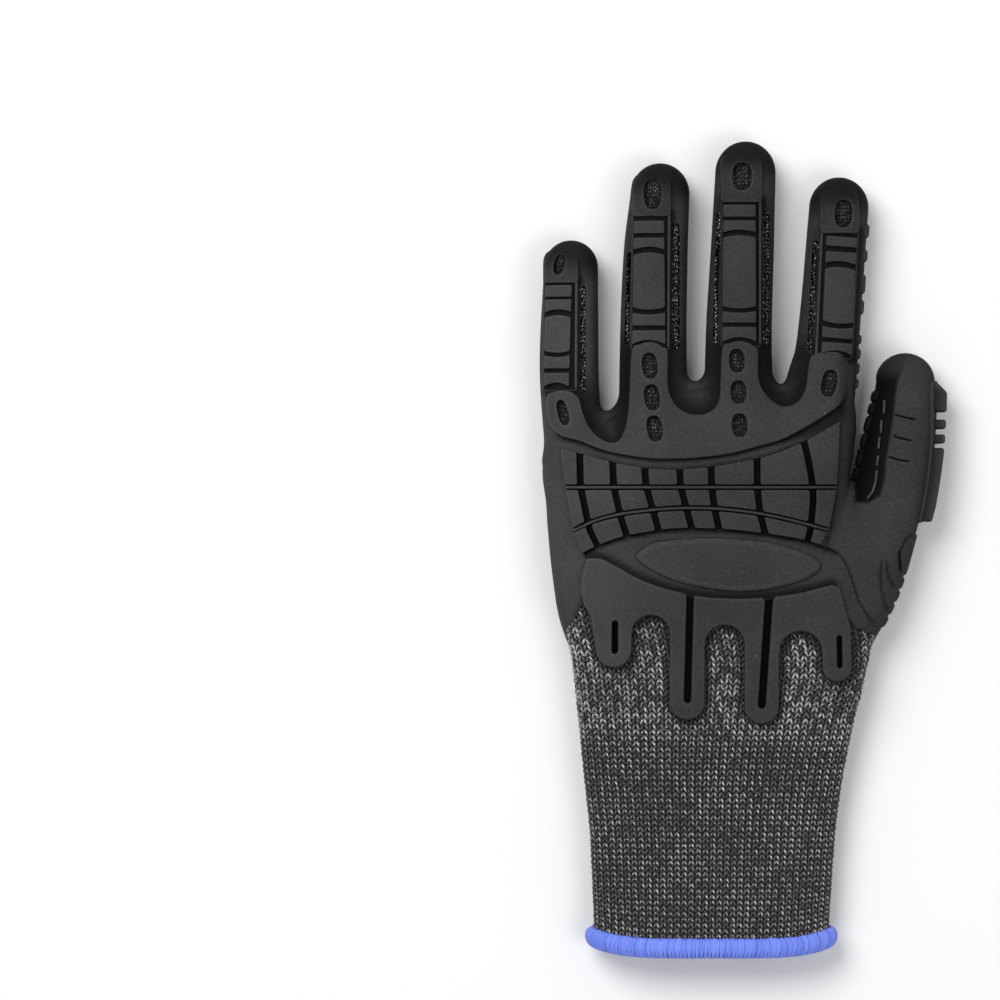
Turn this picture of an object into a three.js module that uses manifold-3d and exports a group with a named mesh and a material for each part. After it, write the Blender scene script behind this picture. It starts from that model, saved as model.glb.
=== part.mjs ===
// Heavy-duty work glove for the left hand, lying palm down, in millimetres.
// X runs towards the thumb, Y towards the fingertips, Z up from the surface under the palm.
// A knitted liner carries a moulded rubber coat, and the coat's back carries the raised guards.

import * as THREE from 'three';
import { mergeVertices } from 'three/addons/utils/BufferGeometryUtils.js';
import Module from 'manifold-3d';

const wasm = await Module();
wasm.setup();

// Driving dimensions: walls and the heights of faces above the knit's outer face.
const CLEARANCE = 0.3;
const KNIT_WALL = 1.1;
const COAT_WALL = 1.3;
const GUARD_WEB = 0.8;
const GUARD_RISE = 1.4;
const COAT_FACE = CLEARANCE + COAT_WALL;
const GUARD_SEAT = COAT_FACE + CLEARANCE;
const GUARD_FLOOR = GUARD_SEAT + GUARD_WEB;
const GUARD_TOP = GUARD_FLOOR + GUARD_RISE;
const KNUCKLE_TOP = GUARD_SEAT + 1.2;
const THUMB_BLOCK_TOP = GUARD_SEAT + 3.9;

// Driving dimensions: the glove's length, its cuff and its wrist edges.
const FINGERTIP_Y = 131.0;
const CENTRING_X = 0.15;
const KNIT_END_Y = -130.4;
const HEM_LENGTH = 6.0;
const HEM_BULGE = 2.5;
const HEM_LINING = 1.2;
const HEM_END_Y = -132.6;
const CUFF_SPLIT_Y = -10;
const PALM_EDGE_Y = -53;
const BACK_EDGE_Y = -16;

// Shape of the sections: how round they are above and below, their sides, where the base lies.
const ROUNDNESS = { across: 0.82, above: 0.82, below: 0.62 };
const HAND_SIDES = { outside: 22, between: 16, inside: 12 };
const FINGER_SIDES = { outside: 12, between: 8, inside: 6 };
const BASE_Z = 1.0;
const SKY_Z = 60;

// Names the columns of a table whose rows are given as plain lists.
function table(heading, ...rows) {
  const names = heading.split(' ');
  return rows.map((row) => Object.fromEntries(names.map((name, i) => [name, row[i]])));
}

// The knit's outer face in sections along the hand, from the cuff's end to the webs.
const HAND = table(
  'y left right top bottom',
  [KNIT_END_Y, -48.1, 27.0, 18.6, BASE_Z],
  [-94, -49.6, 29.2, 19.4, BASE_Z],
  [-74, -51.6, 31.8, 20.2, BASE_Z],
  [-54, -53.6, 35.8, 21.6, BASE_Z],
  [-36, -55.6, 38.8, 23.2, BASE_Z],
  [-16, -59.0, 35.5, 24.8, BASE_Z],
  [8, -62.0, 33.0, 25.4, BASE_Z],
  [44, -64.2, 34.6, 21.6, BASE_Z],
  [51, -63.2, 34.0, 18.6, 2.4],
  [53.4, -61.0, 32.0, 15.4, 4.6],
);

// The knit's outer face in sections along each finger, from inside the hand to the dome.
const FINGERS = {
  little: {
    tip: 98.8,
    rows: table(
      'y left right top bottom',
      [30, -64.0, -47.4, 20.6, BASE_Z],
      [60.0, -64.8, -48.8, 18.0, BASE_Z],
      [91.6, -63.4, -49.0, 16.6, BASE_Z],
    ),
  },
  ring: {
    tip: 123.9,
    rows: table(
      'y left right top bottom',
      [34, -39.2, -19.6, 22.0, BASE_Z],
      [70.0, -38.6, -20.2, 19.2, BASE_Z],
      [97.2, -37.4, -19.8, 18.0, BASE_Z],
      [115.4, -35.2, -19.2, 17.0, BASE_Z],
    ),
  },
  middle: {
    tip: FINGERTIP_Y,
    rows: table(
      'y left right top bottom',
      [34, -11.5, 8.5, 22.4, BASE_Z],
      [68.0, -10.8, 7.5, 19.8, BASE_Z],
      [97.2, -9.1, 8.2, 18.4, BASE_Z],
      [122.4, -7.6, 8.8, 17.2, BASE_Z],
    ),
  },
  index: {
    tip: 119.3,
    rows: table(
      'y left right top bottom',
      [34, 14.5, 34.2, 22.0, BASE_Z],
      [54.9, 15.6, 35.1, 20.2, BASE_Z],
      [66.0, 18.6, 35.8, 19.2, BASE_Z],
      [111.0, 23.0, 39.0, 17.0, BASE_Z],
    ),
  },
  thumb: {
    tip: 62.1,
    rows: table(
      'y left right top bottom',
      [-44, 14.0, 36.4, 19.6, BASE_Z],
      [-29.6, 14.0, 41.6, 20.8, BASE_Z],
      [-14.0, 19.4, 48.6, 22.2, BASE_Z],
      [3.0, 28.8, 53.6, 22.6, BASE_Z],
      [16.0, 35.0, 56.9, 22.2, BASE_Z],
      [36.0, 40.0, 59.6, 20.6, BASE_Z],
      [54.4, 44.5, 60.5, 18.2, BASE_Z],
    ),
  },
};

// Where the coat of each finger parts from the coat of the hand.
const COAT_SPLITS = table(
  'name y end left right endLeft endRight',
  ['little', 47.5, 110, -70, -45, -70, -43],
  ['ring', 57.5, 140, -44, -15.4, -43, -14],
  ['middle', 57.5, 140, -15, 12, -14, 14],
  ['index', 57.5, 130, 12.4, 41.2, 18, 44],
  ['thumb', 25.5, 70, 35.7, 75, 43.6, 75],
);

// The raised strip along each finger's back: a tip pad, then bars and one long block.
const FINGER_GUARDS = {
  little: {
    leftTip: -64.6,
    leftRoot: -66.2,
    width: 9.2,
    blocks: table('from to', [97.4, 86.1], [85.4, 81.6], [80.8, 77.4], [76.0, 63.0], [62.0, 58.2], [57.0, 53.2]),
  },
  ring: {
    leftTip: -35.4,
    leftRoot: -36.8,
    width: 10.0,
    blocks: table('from to', [123.0, 107.6], [106.2, 102.0], [100.8, 97.2], [96.2, 77.8], [76.0, 72.2], [70.8, 66.8]),
  },
  middle: {
    leftTip: -6.4,
    leftRoot: -7.4,
    width: 10.2,
    blocks: table('from to', [129.8, 112.4], [111.7, 107.9], [106.8, 103.0], [101.2, 78.7], [77.0, 73.5], [71.8, 67.8]),
  },
  index: {
    leftTip: 26.6,
    leftRoot: 24.0,
    width: 10.0,
    blocks: table('from to', [118.4, 102.0], [101.1, 97.8], [96.2, 92.8], [91.4, 72.5], [70.8, 67.9], [66.6, 63.2]),
  },
};

// Oval vents, each cut through the guard and the coat down to the knit.
const VENTS = table(
  'x y width length tilt',
  [-60.1, 92.1, 3.6, 6.8, -0.25],
  [-29.9, 114.9, 5.8, 10.0, 0],
  [-1.0, 120.6, 6.4, 9.2, 0],
  [31.8, 108.6, 5.8, 9.2, -0.05],
  [-59.0, 44.2, 3.6, 8.8, 0.25],
  [-30.9, 59.3, 5.2, 8.6, 0.12],
  [-30.2, 49.1, 5.2, 8.6, 0.14],
  [-29.4, 39.0, 5.2, 8.6, 0.16],
  [-2.8, 60.9, 5.2, 7.8, 0.04],
  [-2.3, 50.7, 5.2, 7.8, 0.04],
  [-2.0, 40.0, 5.2, 7.8, 0.04],
  [27.1, 53.6, 5.2, 9.0, -0.2],
);

// Long openings beside the finger strips, where the knit shows along the finger.
const SIDE_SLOTS = table(
  'x1 y1 x2 y2 width',
  [-52.6, 84.5, -52.6, 51.5, 1.7],
  [-22.4, 104.5, -22.4, 66.0, 2.4],
  [-38.4, 95.5, -38.4, 67.0, 1.3],
  [6.8, 108.5, 6.8, 66.5, 2.0],
  [-9.6, 108.5, -9.6, 67.5, 1.6],
  [23.4, 99.0, 21.4, 64.0, 1.8],
);

// Grooves of the back guard between its tiles, as centre lines.
const TILE_GROOVE_WIDTH = 1.8;
const TILE_GROOVES = [
  [[-58.4, 20.3], [27.6, 20.3]],
  [[-54.8, 5.8], [-45.5, 10.6], [-33.0, 13.2], [-17.5, 14.0], [-1.3, 13.3], [15.0, 10.2], [22.0, 7.2]],
];
const TILE_COLUMNS = table(
  'topX topY lowX lowY',
  [-53.4, 31.5, -48.4, 3.2],
  [-43.8, 28.6, -39.0, 5.0],
  [-33.0, 26.8, -29.0, 6.8],
  [-22.4, 26.2, -18.8, 7.4],
  [-12.4, 26.8, -9.2, 7.4],
  [2.2, 28.6, 5.2, 6.4],
  [20.0, 37.0, 20.4, 3.6],
);

// Tongues that hang from the back guard over the knit, each with a slot along it.
const TONGUES = table(
  'left right end slotTopX slotTopY slotEndX slotEndY slotWidth',
  [-48.4, -36.8, -38.0, -42.2, -23.8, -42.2, -32.8, 1.9],
  [-24.4, -13.4, -54.9, -18.0, -14.6, -18.8, -49.6, 2.0],
  [-0.4, 10.7, -56.2, 7.4, -16.2, 5.2, -51.4, 2.2],
  [24.7, 34.4, -42.6, 30.2, -28.6, 30.4, -37.6, 1.5],
);
const ARCH_TOPS = [-21.2, -24.4, -26.4];

// Raised blocks along the thumb's outer edge, measured along the glove.
const THUMB_BLOCKS = table('from to', [54.0, 43.6], [42.2, 38.6], [37.4, 34.0], [32.8, 8.8]);
const THUMB_STRIP = { x: 52, from: 53.0, to: 9.4, low: 6.0, high: 17.0 };

// Grooves of the palm's pads, as centre lines, and how wide and deep they are.
const PALM_GROOVE_WIDTH = 1.6;
const PALM_GROOVE_DEPTH = 0.6;
const PALM_GROOVES = [
  [[15.8, 13.6], [13.4, 3.0], [8.0, -9.0], [6.4, -18.0], [8.8, -30.0], [14.6, -40.0]],
  [[-1.0, -4.6], [-6.6, -18.0], [-6.6, -30.0], [0.6, -47.4]],
  [[-14.6, 5.0], [-19.8, -13.0], [-21.4, -28.0], [-19.0, -38.0], [-14.8, -47.2]],
  [[-17.8, 8.8], [-29.8, -5.0], [-40.6, -20.0]],
  [[-43.0, -26.4], [-55.0, -36.0]],
  [[20.4, 45.2], [-1.0, 35.4], [-21.0, 30.6], [-60.0, 27.0]],
  [[-17.0, 10.8], [-36.0, 1.6], [-50.0, -13.0], [-59.4, -25.0]],
];

// A closed solid from vertices and triangles.
function solidFrom(positions, triangles) {
  const mesh = new wasm.Mesh({
    numProp: 3,
    vertProperties: new Float32Array(positions),
    triVerts: new Uint32Array(triangles),
  });
  return new wasm.Manifold(mesh);
}

// A closed solid from a three.js geometry.
function solidOf(geometry) {
  geometry.deleteAttribute('normal');
  geometry.deleteAttribute('uv');
  const merged = mergeVertices(geometry, 1e-4);
  return solidFrom(merged.attributes.position.array, merged.index.array);
}

// A closed solid through rings of equal length, listed towards +Y, closed with a fan at each end.
function loft(rings, firstPole, lastPole) {
  const sides = rings[0].length;
  const points = [...rings.flat(), firstPole, lastPole];
  const first = points.length - 2;
  const last = points.length - 1;
  const lastRing = (rings.length - 1) * sides;
  const triangles = [];
  for (let side = 0; side < sides; side += 1) {
    const next = (side + 1) % sides;
    triangles.push(first, side, next);
    triangles.push(last, lastRing + next, lastRing + side);
    for (let ring = 0; ring < lastRing; ring += sides) {
      triangles.push(ring + side, ring + sides + side, ring + sides + next);
      triangles.push(ring + side, ring + sides + next, ring + next);
    }
  }
  return solidFrom(points.flatMap((point) => point.toArray()), triangles);
}

function swelled(value, roundness) {
  return Math.sign(value) * Math.abs(value) ** roundness;
}

// How far the webs stand back from the middle of the hand's front edge.
function webSetback(x, y) {
  const share = THREE.MathUtils.clamp((y - 5) / 45, 0, 1);
  return -0.0069 * (x + 5) ** 2 * share;
}

// Which face of the walls a growth stands for: the finest rings go to the coat's outside.
function faceAt(grow) {
  if (grow > CLEARANCE) {
    return 'outside';
  }
  return grow < 0 ? 'inside' : 'between';
}

// One ring around the glove: its base is flat, and lies lower the more the form grows.
function section(row, grow, sides, y, scale, setback) {
  const centreX = (row.left + row.right) / 2;
  const centreZ = (row.top + row.bottom) / 2;
  const halfWidth = ((row.right - row.left) / 2 + grow) * scale;
  const halfHeight = ((row.top - row.bottom) / 2 + grow) * scale;
  const ring = [];
  for (let side = 0; side < sides; side += 1) {
    const turn = (2 * Math.PI * (side + 0.5)) / sides;
    const roundness = turn < Math.PI ? ROUNDNESS.above : ROUNDNESS.below;
    const x = centreX + halfWidth * swelled(Math.cos(turn), ROUNDNESS.across);
    const z = centreZ + halfHeight * swelled(Math.sin(turn), roundness);
    ring.push(new THREE.Vector3(x, y + setback(x, y), Math.max(z, COAT_FACE - grow, 0)));
  }
  return ring;
}

function level() {
  return 0;
}

function middleOf(row, y) {
  return new THREE.Vector3((row.left + row.right) / 2, y, (row.top + row.bottom) / 2);
}

// A finger's form, grown outwards from the knit's outer face, with a domed tip.
const DOME_TURNS = [0.6, 1.15];
function fingerForm(finger, grow) {
  const sides = FINGER_SIDES[faceAt(grow)];
  const rings = finger.rows.map((row) => section(row, grow, sides, row.y, 1, level));
  const base = finger.rows.at(-1);
  const reach = finger.tip - base.y + grow;
  for (const turn of DOME_TURNS) {
    const y = base.y + reach * Math.sin(turn);
    rings.push(section(base, grow, sides, y, Math.cos(turn), level));
  }
  return loft(rings, middleOf(finger.rows[0], finger.rows[0].y), middleOf(base, finger.tip + grow));
}

// The hand's form with the cuff, whose open end is carried past the knit where it is hollow.
const HOLLOW_OVERRUN = 6;
function handForm(grow) {
  const face = faceAt(grow);
  const overrun = face === 'inside' ? HOLLOW_OVERRUN : 0;
  const rings = HAND.map((row, i) => {
    const y = i === 0 ? row.y - overrun : row.y + (i === HAND.length - 1 ? grow : 0);
    return section(row, grow, HAND_SIDES[face], y, 1, webSetback);
  });
  const front = HAND.at(-1);
  return loft(rings, middleOf(HAND[0], HAND[0].y - overrun), middleOf(front, front.y + grow));
}

const forms = new Map();
function gloveForm(grow) {
  if (!forms.has(grow)) {
    const fingers = Object.values(FINGERS).map((finger) => fingerForm(finger, grow));
    forms.set(grow, fingers.reduce((whole, finger) => whole.add(finger), handForm(grow)));
  }
  return forms.get(grow);
}

// A box between two corners.
function box(low, high) {
  const size = high.map((value, i) => value - low[i]);
  const geometry = new THREE.BoxGeometry(...size);
  geometry.translate(...low.map((value, i) => value + size[i] / 2));
  return solidOf(geometry);
}

// A prism that stands on an outline in the XY plane.
function prism(outline, low, high) {
  const shape = new THREE.Shape(outline);
  const geometry = new THREE.ExtrudeGeometry(shape, { depth: high - low, bevelEnabled: false });
  geometry.translate(0, 0, low);
  return solidOf(geometry);
}

function joined(solids) {
  return solids.reduce((whole, solid) => whole.add(solid));
}

// Points of a smooth line through a few given ones.
function smooth(points, steps) {
  return new THREE.SplineCurve(points.map(([x, y]) => new THREE.Vector2(x, y))).getPoints(steps);
}

// The outline of a band of even width along a line of points.
function bandOutline(line, width) {
  const left = [];
  const right = [];
  line.forEach((point, i) => {
    const before = line[Math.max(i - 1, 0)];
    const after = line[Math.min(i + 1, line.length - 1)];
    const across = new THREE.Vector2(before.y - after.y, after.x - before.x).setLength(width / 2);
    left.push(point.clone().add(across));
    right.unshift(point.clone().sub(across));
  });
  return [...left, ...right];
}

function ovalOutline(vent, sides) {
  const outline = [];
  for (let side = 0; side < sides; side += 1) {
    const turn = (2 * Math.PI * side) / sides;
    const point = new THREE.Vector2((vent.width / 2) * Math.cos(turn), (vent.length / 2) * Math.sin(turn));
    point.rotateAround(new THREE.Vector2(), vent.tilt);
    outline.push(point.add(new THREE.Vector2(vent.x, vent.y)));
  }
  return outline;
}

function rectangle(left, right, from, to) {
  return [[left, to], [right, to], [right, from], [left, from]].map(([x, y]) => new THREE.Vector2(x, y));
}

// The layer of a form between two heights above the knit, inside an outline seen from above.
function layer(form, outline, seat, top, low, high) {
  return prism(outline, low, high).intersect(form(top)).subtract(form(seat));
}

// Everything that is pierced: the vents and the side slots, above the middle of the glove.
const VENT_SIDES = 8;
const PIERCE_Z = 11;
function piercings() {
  const vents = VENTS.map((vent) => prism(ovalOutline(vent, VENT_SIDES), PIERCE_Z, SKY_Z));
  const slots = SIDE_SLOTS.map((slot) => {
    const line = [new THREE.Vector2(slot.x1, slot.y1), new THREE.Vector2(slot.x2, slot.y2)];
    return prism(bandOutline(line, slot.width), PIERCE_Z, SKY_Z);
  });
  return joined([...vents, ...slots]);
}

// How far back the coat reaches: long and arched on the palm, short on the back.
const PALM_SIDE_Z = 5;
const BACK_SIDE_Z = 17;
function wristEdge(x, z) {
  const palm = PALM_EDGE_Y + 0.0068 * (x + 10) ** 2;
  const back = BACK_EDGE_Y - 11 * THREE.MathUtils.smoothstep(Math.abs(x + 8), 38, 50);
  return THREE.MathUtils.mapLinear(THREE.MathUtils.clamp(z, PALM_SIDE_Z, BACK_SIDE_Z), PALM_SIDE_Z, BACK_SIDE_Z, palm, back);
}

// A block behind the wrist edge, used to trim the coat.
const TRIM = { width: 132, length: 120, columns: 8, bands: 4, x: -8, y: -92 };
function wristTrim() {
  const band = BACK_SIDE_Z - PALM_SIDE_Z;
  const geometry = new THREE.BoxGeometry(TRIM.width, TRIM.length, TRIM.bands * band, TRIM.columns, 1, TRIM.bands);
  geometry.translate(TRIM.x, TRIM.y, PALM_SIDE_Z - band + (TRIM.bands * band) / 2);
  const positions = geometry.attributes.position;
  for (let i = 0; i < positions.count; i += 1) {
    if (positions.getY(i) > TRIM.y) {
      positions.setY(i, wristEdge(positions.getX(i), positions.getZ(i)));
    }
  }
  return solidOf(geometry);
}

// The grooves between the palm's pads, cut to an even depth below the coat's face.
function palmGrooves() {
  const bands = PALM_GROOVES.map((line) => {
    const points = smooth(line, line.length - 1);
    return prism(bandOutline(points, PALM_GROOVE_WIDTH), -1, PALM_SIDE_Z);
  });
  return joined(bands).subtract(gloveForm(COAT_FACE - PALM_GROOVE_DEPTH));
}

function splitBlock(split, clearance) {
  const corners = [
    [split.left, split.y - clearance],
    [split.right, split.y - clearance],
    [split.endRight, split.end],
    [split.endLeft, split.end],
  ];
  return prism(corners.map(([x, y]) => new THREE.Vector2(x, y)), -5, SKY_Z);
}

// The rubber coat, parted into the hand's and each finger's, with all that is cut through it.
function coatSolids() {
  const whole = gloveForm(COAT_FACE).subtract(gloveForm(CLEARANCE)).subtract(wristTrim());
  const pierced = whole.subtract(piercings()).subtract(palmGrooves());
  const solids = {};
  for (const split of COAT_SPLITS) {
    solids[`${split.name}_coat`] = pierced.intersect(splitBlock(split, 0));
  }
  const fingers = joined(COAT_SPLITS.map((split) => splitBlock(split, CLEARANCE)));
  return { palm_coat: pierced.subtract(fingers), ...solids };
}

// The knit, parted under the coat into the cuff and the liner of the hand.
function knitSolids() {
  const knit = gloveForm(0).subtract(gloveForm(-KNIT_WALL));
  const half = CLEARANCE / 2;
  return {
    knit_cuff: knit.intersect(box([-90, -150, -5], [90, CUFF_SPLIT_Y - half, SKY_Z])),
    knit_liner: knit.intersect(box([-90, CUFF_SPLIT_Y + half, -5], [90, 150, SKY_Z])),
  };
}

// The overlocked hem: a rounded ring that wraps the knit's end.
const HEM_TURNS = [-1.0, 0, 1.0];
function hemSolid() {
  const end = HAND[0];
  const middle = HEM_END_Y + HEM_LENGTH / 2;
  const rings = HEM_TURNS.map((turn) => {
    const grow = HEM_BULGE * Math.cos(turn) - COAT_FACE * (1 - Math.cos(turn));
    return section(end, grow, HAND_SIDES.between, middle + (HEM_LENGTH / 2) * (Math.sin(turn) / Math.sin(1)), 1, level);
  });
  const outside = loft(rings, middleOf(end, HEM_END_Y), middleOf(end, HEM_END_Y + HEM_LENGTH));
  const mouth = [HEM_END_Y - 4, HEM_END_Y + HEM_LENGTH + 4].map((y) => {
    return section(end, -KNIT_WALL - HEM_LINING, HAND_SIDES.between, y, 1, level);
  });
  const hollow = loft(mouth, middleOf(end, HEM_END_Y - 4), middleOf(end, HEM_END_Y + HEM_LENGTH + 4));
  const channel = [KNIT_END_Y - CLEARANCE, HEM_END_Y + HEM_LENGTH + 4].map((y) => {
    return section(end, CLEARANCE, HAND_SIDES.between, y, 1, level);
  });
  const knitOutside = loft(channel, middleOf(end, KNIT_END_Y), middleOf(end, HEM_END_Y + HEM_LENGTH + 4));
  const inner = [KNIT_END_Y - 4, HEM_END_Y + HEM_LENGTH + 6].map((y) => {
    return section(end, -KNIT_WALL - CLEARANCE, HAND_SIDES.inside, y, 1, level);
  });
  const knitInside = loft(inner, middleOf(end, KNIT_END_Y - 4), middleOf(end, HEM_END_Y + HEM_LENGTH + 6));
  return outside.subtract(hollow).subtract(knitOutside.subtract(knitInside));
}

// One finger's guard: a thin strip that carries the pad, the bars and the block.
function fingerGuard(name, cuts) {
  const guard = FINGER_GUARDS[name];
  const form = (grow) => fingerForm(FINGERS[name], grow);
  const first = guard.blocks[0].from;
  const last = guard.blocks.at(-1).to;
  const leftAt = (y) => THREE.MathUtils.mapLinear(y, first, last, guard.leftTip, guard.leftRoot);
  const outline = (from, to) => [
    new THREE.Vector2(leftAt(from), from),
    new THREE.Vector2(leftAt(from) + guard.width, from),
    new THREE.Vector2(leftAt(to) + guard.width, to),
    new THREE.Vector2(leftAt(to), to),
  ];
  const strip = layer(form, outline(first, last), GUARD_SEAT, GUARD_FLOOR, PIERCE_Z, SKY_Z);
  const raised = guard.blocks.map(({ from, to }) => {
    return layer(form, outline(from, to), GUARD_SEAT, GUARD_TOP, PIERCE_Z, SKY_Z);
  });
  return joined([strip, ...raised]).subtract(cuts);
}

// The knuckle guard lies between the band across the hand and the finger strips.
function knuckleGuard(cuts) {
  const rear = smooth([[-62.4, 37.2], [-50.0, 33.4], [-30.6, 29.8], [-14.0, 29.8], [5.2, 34.4], [24.0, 42.6], [31.6, 47.2]], 7);
  const indexEdge = smooth([[35.6, 52.0], [36.0, 60.4]], 1);
  const middleWeb = smooth([[19.6, 60.4], [18.2, 52.6], [14.4, 46.6], [8.0, 49.2], [4.2, 56.0], [4.0, 63.6]], 4);
  const ringWeb = smooth([[-9.4, 63.6], [-8.6, 50.0], [-14.6, 43.6], [-22.6, 46.4], [-25.2, 54.0], [-25.4, 62.6]], 4);
  const littleWeb = smooth([[-38.6, 62.6], [-39.6, 44.0], [-43.4, 35.2], [-50.4, 39.4], [-53.6, 50.6]], 4);
  const littleEdge = [new THREE.Vector2(-65.8, 50.6)];
  const outline = [...rear, ...indexEdge, ...middleWeb, ...ringWeb, ...littleWeb, ...littleEdge];
  return layer(gloveForm, outline, GUARD_SEAT, KNUCKLE_TOP, PIERCE_Z + 3, SKY_Z).subtract(cuts);
}

// The outline of the back guard: an arched front, plain sides, and tongues with arches between.
function backGuardOutline() {
  const front = smooth([[-60.4, 31.8], [-46.8, 29.0], [-30.6, 26.4], [-14.0, 26.6], [5.2, 30.6], [20.0, 37.6], [28.6, 41.6]], 7);
  const right = smooth([[29.4, 20.0], [30.6, 6.0], [29.4, -9.0], [31.6, -17.0], [34.4, -26.0]], 4);
  const tongues = [];
  for (let i = TONGUES.length - 1; i >= 0; i -= 1) {
    const tongue = TONGUES[i];
    const middle = (tongue.left + tongue.right) / 2;
    const root = tongue.end + 6;
    tongues.push(...smooth([[tongue.right, root], [middle, tongue.end], [tongue.left, root]], 4));
    if (i > 0) {
      const arch = ARCH_TOPS[i - 1];
      const next = TONGUES[i - 1];
      const archMiddle = (tongue.left + next.right) / 2;
      tongues.push(...smooth([[tongue.left, arch - 5], [archMiddle, arch], [next.right, arch - 5]], 2));
    }
  }
  const left = smooth([[-48.6, -20.0], [-51.6, -14.0], [-52.6, -2.0], [-56.6, 8.0], [-58.6, 20.0]], 4);
  return [...front, ...right, ...tongues, ...left];
}

// The back guard: a slab with tiles between grooves, an oval boss in a lens, and four tongues.
function backGuard() {
  const slab = layer(gloveForm, backGuardOutline(), GUARD_SEAT, GUARD_TOP, PIERCE_Z + 3, SKY_Z);
  const arcs = TILE_GROOVES.map((line) => {
    return prism(bandOutline(smooth(line, Math.min(line.length - 1, 5)), TILE_GROOVE_WIDTH), 0, SKY_Z);
  });
  const columns = TILE_COLUMNS.map((row) => {
    const line = [new THREE.Vector2(row.topX, row.topY), new THREE.Vector2(row.lowX, row.lowY)];
    return prism(bandOutline(line, TILE_GROOVE_WIDTH), 0, SKY_Z);
  });
  const lens = [
    ...smooth([[-52.0, -2.6], [-40.0, 4.4], [-15.0, 7.0], [8.0, 5.0], [25.0, -1.4], [30.0, -11.0]], 6),
    ...smooth([[20.0, -14.6], [2.0, -16.2], [-14.0, -14.4], [-30.0, -10.6], [-46.0, -4.4]], 5),
  ];
  const boss = [
    ...smooth([[-36.0, -2.8], [-30.0, 1.4], [-14.3, 4.2], [8.5, 1.9], [24.0, -5.0]], 6),
    ...smooth([[18.0, -9.2], [-1.3, -13.0], [-24.0, -9.2]], 4),
  ];
  const sunk = joined([...arcs, ...columns, prism(lens, 0, SKY_Z)]).subtract(gloveForm(GUARD_FLOOR));
  const slots = TONGUES.map((tongue) => {
    const line = [
      new THREE.Vector2(tongue.slotTopX, tongue.slotTopY),
      new THREE.Vector2(tongue.slotEndX, tongue.slotEndY),
    ];
    return prism(bandOutline(line, tongue.slotWidth), 0, SKY_Z);
  });
  const raised = layer(gloveForm, boss, GUARD_SEAT, GUARD_TOP, PIERCE_Z + 3, SKY_Z);
  return slab.subtract(sunk).add(raised).subtract(joined(slots));
}

// The thumb's guard: a strip on its outer edge with blocks that stand proud of it.
function thumbGuard() {
  const form = (grow) => fingerForm(FINGERS.thumb, grow);
  const { x, from, to, low, high } = THUMB_STRIP;
  const strip = layer(form, rectangle(x, 80, to, from), GUARD_SEAT, GUARD_FLOOR, low, high);
  const raised = THUMB_BLOCKS.map((block) => {
    const outline = rectangle(x, 80, block.to, block.from);
    return layer(form, outline, GUARD_SEAT, THUMB_BLOCK_TOP, low + 0.8, high - 0.8);
  });
  return joined([strip, ...raised]);
}

const RUBBER = new THREE.MeshStandardMaterial({ color: 0x2b2a29, roughness: 0.78, metalness: 0 });
const GUARD = new THREE.MeshStandardMaterial({ color: 0x333130, roughness: 0.7, metalness: 0 });
const KNIT = new THREE.MeshStandardMaterial({ color: 0x6f6c68, roughness: 0.95, metalness: 0 });
const THREAD = new THREE.MeshStandardMaterial({ color: 0x2f56d8, roughness: 0.8, metalness: 0 });

function meshOf(name, solid, material) {
  const { vertProperties, triVerts } = solid.getMesh();
  const geometry = new THREE.BufferGeometry();
  geometry.setAttribute('position', new THREE.BufferAttribute(new Float32Array(vertProperties), 3));
  geometry.setIndex(new THREE.BufferAttribute(new Uint32Array(triVerts), 1));
  geometry.computeVertexNormals();
  const mesh = new THREE.Mesh(geometry, material);
  mesh.name = name;
  return mesh;
}

const glove = new THREE.Group();
glove.position.x = CENTRING_X;
for (const [name, solid] of Object.entries(knitSolids())) {
  glove.add(meshOf(name, solid, KNIT));
}
glove.add(meshOf('cuff_hem', hemSolid(), THREAD));
for (const [name, solid] of Object.entries(coatSolids())) {
  glove.add(meshOf(name, solid, RUBBER));
}
const cuts = piercings();
for (const name of Object.keys(FINGER_GUARDS)) {
  glove.add(meshOf(`${name}_guard`, fingerGuard(name, cuts), GUARD));
}
glove.add(meshOf('thumb_guard', thumbGuard(), GUARD));
glove.add(meshOf('knuckle_guard', knuckleGuard(cuts), GUARD));
glove.add(meshOf('back_guard', backGuard(), GUARD));

export default glove;
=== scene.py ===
"""Looks of a heavy-duty work glove: rubber coat, raised guards, knitted cuff and overlocked hem."""

import math
from collections import namedtuple

import bmesh
import bpy
import numpy as np
import openvdb
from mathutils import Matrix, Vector
from mathutils.geometry import delaunay_2d_cdt


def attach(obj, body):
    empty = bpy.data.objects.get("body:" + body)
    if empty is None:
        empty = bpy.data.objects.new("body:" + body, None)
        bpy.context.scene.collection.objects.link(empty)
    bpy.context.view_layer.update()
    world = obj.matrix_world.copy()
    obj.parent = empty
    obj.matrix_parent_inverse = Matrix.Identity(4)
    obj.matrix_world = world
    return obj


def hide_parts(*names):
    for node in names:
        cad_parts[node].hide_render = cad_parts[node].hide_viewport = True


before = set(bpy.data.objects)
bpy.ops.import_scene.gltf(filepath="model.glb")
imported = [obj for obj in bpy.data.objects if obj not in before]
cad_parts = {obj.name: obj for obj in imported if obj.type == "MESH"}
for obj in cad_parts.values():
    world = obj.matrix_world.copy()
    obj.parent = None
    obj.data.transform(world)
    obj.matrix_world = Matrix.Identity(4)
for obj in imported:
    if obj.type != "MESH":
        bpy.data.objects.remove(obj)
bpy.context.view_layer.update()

bl_info = {
    "name": "Heavy-duty work glove",
    "version": (1, 0, 0),
    "blender": (4, 5, 0),
    "location": "View3D > Sidebar > Glove",
    "description": "Builds the looks of a rubber-coated knitted work glove around its CAD frame",
    "category": "Object",
}

# The glove is drawn in millimetres, with the same origin as the CAD source, then set in metres.
MM = 0.001
CENTRING_X = 0.15
SEED = 7

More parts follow.
